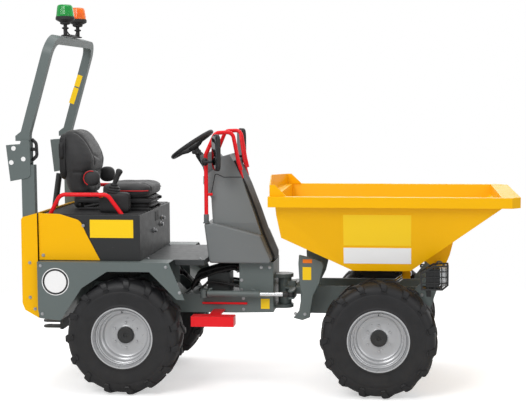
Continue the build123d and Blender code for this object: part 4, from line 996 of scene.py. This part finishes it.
# the joystick leans ahead from a folded gaiter on its box; two small knobs stand beside it
leverSet = {
    "boxLow": (-205, -372, 1210), "boxHigh": (5, -288, 1352), "gaiterAt": (-108, -330, 1350),
    "gaiter": [(0, 0), (50, 0), (50, 6), (42, 12), (46, 20), (34, 30), (38, 38), (24, 48), (27, 56), (14, 68),
        (0, 70)],
    "gripAt": (-104, -330, 1404),
    "grip": [(0, 0), (13, 0), (15, 14), (19, 40), (17, 62), (21, 84), (24, 100), (21, 110), (12, 116),
        (0, 117)],
    "knob": [(0, 0), (7, 0), (9, 4), (9, 12), (6, 15), (0, 15)],
    "knobs": {"red": (-190, -370, 1322), "yellow": (-176, -370, 1326)},
}
lever = joinShapes([pillow(leverSet["boxLow"], leverSet["boxHigh"], 7, 22, 36),
                    lathe(leverSet["gaiter"], leverSet["gaiterAt"], (0.12, 0, 1), 40),
                    lathe(leverSet["grip"], leverSet["gripAt"], (0.42, 0, 1), 32)])
makePiece("controlLever", lever, *rearBlack, replaced="joystick_box")
for colour, where in leverSet["knobs"].items():
    knob = lathe(leverSet["knob"], where, (0, -1, 0.2), 20)
    makePiece("smallKnob_" + colour, knob, "rear_frame", colour + "Paint", "red_paint")
print("seat made")

# hoses fan from the valve block to the pedestal; each is lifted by its own share of 60 mm
hoseSet = {
    "count": 8, "radius": 10.5, "half": 122,
    # along, share of the sideways place, height and share of the lift
    "path": [(392, 1, 640, 0.4), (428, 1, 708, 1), (560, 0.95, 762, 0.7), (690, 0.9, 792, 0.5),
        (742, 0.9, 770, 0.5)],
    "lower": [(450, 150, 640), (520, 135, 700), (600, 120, 690), (742, 150, 668)], "lowerRadius": 9,
    "fitting": [(0, 0), (14, 0), (14, 10), (11, 12), (11, 26), (0, 26)], "fittingAt": (716, 0.9, 775, 0.5),
}


def hosePlace(index, along, share, height, liftShare):
    y = -hoseSet["half"] + 2 * hoseSet["half"] * index / (hoseSet["count"] - 1)
    return along, y * share, height + ((index * 37) % 60) * liftShare


hoses = [pipe([hosePlace(index, *place) for place in hoseSet["path"]], hoseSet["radius"], 60, 14, 8)
         for index in range(hoseSet["count"])]
hoses += [pipe(mirrored(hoseSet["lower"], side), hoseSet["lowerRadius"], 50, 12) for side in (-1, 1)]
makePiece("steeringHoses", joinShapes(hoses), "rear_frame", "hoseRubber", "hose_rubber", replaced="hoses")
fittings = [lathe(hoseSet["fitting"], hosePlace(index, *hoseSet["fittingAt"]), axisX, 6)
            for index in range(hoseSet["count"])]
makePiece("hoseFittings", joinShapes(fittings), "rear_frame", "boltSteel", "engine_iron", 30)
print("hoses made")

# dash: housing under the wheel, front strip, seams and the stop at the rail's foot
dashSet = {
    "housing": [(455, 1598), (548, 1628), (600, 1566), (572, 1490), (532, 1392), (500, 1396), (486, 1480)],
    "housingHalf": 118, "stripHalf": 128,
    "strip": [(700, 1560), (716, 1566), (797, 1388), (864, 1212), (919, 1052), (989, 886), (989, 856),
        (974, 856), (974, 880), (904, 1044), (849, 1204), (782, 1378)],
    "seam": [(548, 171, 1328), (574, 150, 1474), (636, 154, 1446), (766, 154, 1448)],
}
housing = slab(dashSet["housing"], "xz", -dashSet["housingHalf"], dashSet["housingHalf"])
makePiece("instrumentHousing", housing, "rear_frame", "panelGreyDark", "grey_panel", 25, rounded=12)
frontStrip = slab(dashSet["strip"], "xz", -dashSet["stripHalf"], dashSet["stripHalf"])
makePiece("dashFrontStrip", frontStrip, "rear_frame", "blackPlastic", "grey_panel", 25, rounded=5)
seams = [pipe(mirrored(dashSet["seam"], side), 2.6, 14, 8) for side in (-1, 1)]
makePiece("dashSeams", joinShapes(seams), "rear_frame", "blackPlastic", "grey_panel")
loopStop = pillow((512, -222, 1098), (536, -198, 1122), 2.2, 16, 24)
makePiece("loopStop", loopStop, "rear_frame", "yellowPlate", "grey_panel")

# console: a dark plate on the front that paints the shade of its recess, knobs and the mat on top
consoleSet = {
    "recess": (-16, 1118, 86, 1186), "recessX": (109.5, 112.5), "face": 110,
    "knobs": ((150, 1078), (-70, 1056), (205, 1120)),
    "knob": [(0, 0), (19, 0), (19, 4), (13, 8), (13, 22), (9, 25), (0, 25)], "mat": (-560, -478, 98, 478),
    "matZ": (1206.6, 1211.5),
}
# the recess is not cut in: a darker black plate, slightly proud of the face, stands in for the shade inside
# it
recess = slab(rectangle(*consoleSet["recess"]), "yz", *consoleSet["recessX"])
makePiece("consoleRecessShadePlate", recess, "rear_frame", "blackPlastic", "black_cover", rounded=1.2)
knobs = [lathe(consoleSet["knob"], (consoleSet["face"], y, z), axisX, 28) for y, z in consoleSet["knobs"]]
makePiece("consoleKnobs", joinShapes(knobs), "rear_frame", "boltSteel", "black_cover")
mat = slab(rectangle(*consoleSet["mat"]), "xy", *consoleSet["matZ"])
makePiece("consoleMat", mat, "rear_frame", "blackPlastic", "black_cover", rounded=2)

# fold pins and bushes on the posts; the latch straps fold with the hoop
foldSet = {
    "pin": [(0, 0), (24, 0), (24, 5), (16, 8), (0, 9)], "pinAt": (-664, 510, 1686),
    "bush": [(0, 0), (15, 0), (16, 1.5), (15, 2.5), (0, 2.5)], "bushY": 519.2,
    "bushes": ((-742, 1662), (-676, 1590), (-760, 1566)),
    "strap": [(-628, 474, 1722), (-598, 478, 1696), (-594, 480, 1610), (-628, 478, 1580)], "lug": (12, 34),
    "lugAt": (-631, 480, 1655),
}
pins, bushes, straps = [], [], []
for side in (-1, 1):
    pins.append(lathe(foldSet["pin"], mirrored(foldSet["pinAt"], side), (0, side, 0), 32))
    bushes += [lathe(foldSet["bush"], (x, side * foldSet["bushY"], z), (0, side, 0), 28)
               for x, z in foldSet["bushes"]]
    straps.append(pipe(mirrored(foldSet["strap"], side), 12, 28, 14, 7, flat=0.5))
    straps.append(lathe(drum(*foldSet["lug"]), mirrored(foldSet["lugAt"], side), axisX, 20))
makePiece("foldPins", joinShapes(pins), *rearSteel, 30)
makePiece("foldBushes", joinShapes(bushes), "rear_frame", "whitePlate", "grey_frame", 30)
makePiece("latchStraps", joinShapes(straps), "hoop", *rearBlack[1:], 30)

# bolts on both sides: how far out each row stands, and its places along and up
boltRows = {
    "rear_frame": {560: [(-556, 534), (-562, 866), (300, 864), (392, 690)], 517: [(-650, 880), (-652, 640),
        (-620, 560)], 498: [(-278, 1136), (-560, 930)], 182: [(760, 720), (760, 650), (772, 590), (772, 512),
        (900, 812), (960, 812)]},
    "front_frame": {320: [(1156, 512), (1222, 508)], 316: [(2030, 600), (2030, 650)]},
}
floorBolts = fasteners([(x, y, 893.5) for x in (135, 500) for y in (-360, 360)], axisZ, 14, 7)
for body, rows in boltRows.items():
    shapes = [fasteners([(x, side * y, z) for x, z in places], (0, side, 0), 17, 10)
              for y, places in rows.items() for side in (-1, 1)]
    shapes += [floorBolts] if body == "rear_frame" else []
    makePiece("fasteners_" + body, joinShapes(shapes), body, "boltSteel", "grey_frame", 30)

# blank plates: speed discs, neck and tower; a plate has its corners along and up, and its face
discSet = {
    "at": (-461, 560, 757), "disc": [(0, 0), (94, 0), (94, 1.2), (0, 1.6)],
    "ring": [(76, 1.0), (88, 1.0), (88, 2.4), (76, 2.4), (76, 1.0)],
}
for name, side in sides.items():
    where, out = mirrored(discSet["at"], side), (0, side, 0)
    disc, ring = lathe(discSet["disc"], where, out, 72), lathe(discSet["ring"], where, out, 72)
    makePiece("speedDisc_" + name, disc, "rear_frame", "whitePlate", "grey_frame", 30)
    makePiece("speedRing_" + name, ring, "rear_frame", "blackPaint", "grey_frame", 30)
plateSet = {
    "neckPlate": ("rear_frame", (896, 516, 958, 588), -182, "yellowPlate"),
    "towerPlate": ("front_frame", (1206, 748, 1266, 838), -320, "yellowPlate"),
    "towerBand": ("front_frame", (1208, 866, 1272, 892), -320, "orangePlate"),
}
for name, (body, edges, face, finish) in plateSet.items():
    plate = slab(rectangle(*edges), "xz", face - 1.6, face + 0.5)
    makePiece(name, plate, body, finish, "yellow_paint", rounded=0.6)
rearLamps = [pillow((-714, y - 50, 640), (-706, y + 50, 700), 7, 12, 32) for y in (-430, 430)]
makePiece("rearLampLenses", joinShapes(rearLamps), "rear_frame", "redLens", "lamp_lens",
          replaced="rear_lamps")

# headlamp insides: body, glass and the ribs on it
lampSet = {
    "rear": 2015, "middle": 510, "ribFrom": 764, "ribTo": 874, "ribStep": 12, "ribRadius": 2,
    "rib": [(140, -50), (176, -48), (180, 0), (176, 48), (140, 50)],
}
for name, side in sides.items():
    x, y = lampSet["rear"], side * lampSet["middle"]
    body = pillow((x + 46, y - 44, 748), (x + 138, y + 44, 874), 5, 22, 32)
    glass = pillow((x + 130, y - 50, 750), (x + 178, y + 50, 882), 6, 22, 32)
    ribs = [pipe([(x + ahead, y + aside, z) for ahead, aside in lampSet["rib"]], lampSet["ribRadius"], 10, 8)
            for z in range(lampSet["ribFrom"], lampSet["ribTo"], lampSet["ribStep"])]
    makePiece("lampBody_" + name, body, "front_frame", *rearBlack[1:])
    makePiece("lampGlass_" + name, glass, "front_frame", "lampGlass", "black_plastic")
    makePiece("lampRibs_" + name, joinShapes(ribs), "front_frame", "rimPaint", "black_plastic")

# blank signs on the console and on the skip's side, whose distance from the middle rises with height
signSet = {
    "foot": 410, "footZ": 830, "slope": 0.289, "consoleY": 490,
    "signs": {"skipSignLower": ("skip", (1498, 882, 1955, 994), "whitePlate", "grey_frame"),
        "skipSignUpper": ("skip", (1498, 1010, 1955, 1226), "yellowPlate", "yellow_paint"),
        "consoleSign": ("rear_frame", (-235, 1052, 65, 1176), "yellowPlate", "yellow_paint")},
}
for name, (body, edges, finish, slotName) in signSet["signs"].items():
    points, faces = slab(rectangle(*edges), "xz", -1.6, -0.2)
    onSkip = signSet["foot"] + signSet["slope"] * (points[:, 2] - signSet["footZ"])
    points[:, 1] -= onSkip if body == "skip" else signSet["consoleY"]
    makePiece(name, (points, faces), body, finish, slotName, 30)

# two blank plates up the far leg's inner face, between two distances along the leg's lean
legSet = {
    "foot": (-735.0, 1640.0), "head": (-478.0, 2400.0), "half": 20, "faces": (455.2, 457.4),
    "plates": {"Upper": (470, 560), "Lower": (335, 460)},
}
legFoot, legHead = np.array(legSet["foot"]), np.array(legSet["head"])
lean = (legHead - legFoot) / np.linalg.norm(legHead - legFoot)
aside = np.array([lean[1], -lean[0]])
for label, ends in legSet["plates"].items():
    outline = [legFoot + lean * along + aside * across
               for along, across in rectangle(ends[0], -legSet["half"], ends[1], legSet["half"])]
    makePiece("legPlate" + label, slab(outline, "xz", *legSet["faces"]), "hoop", "yellowPlate", "grey_frame",
              30)
print("fittings and plates made")
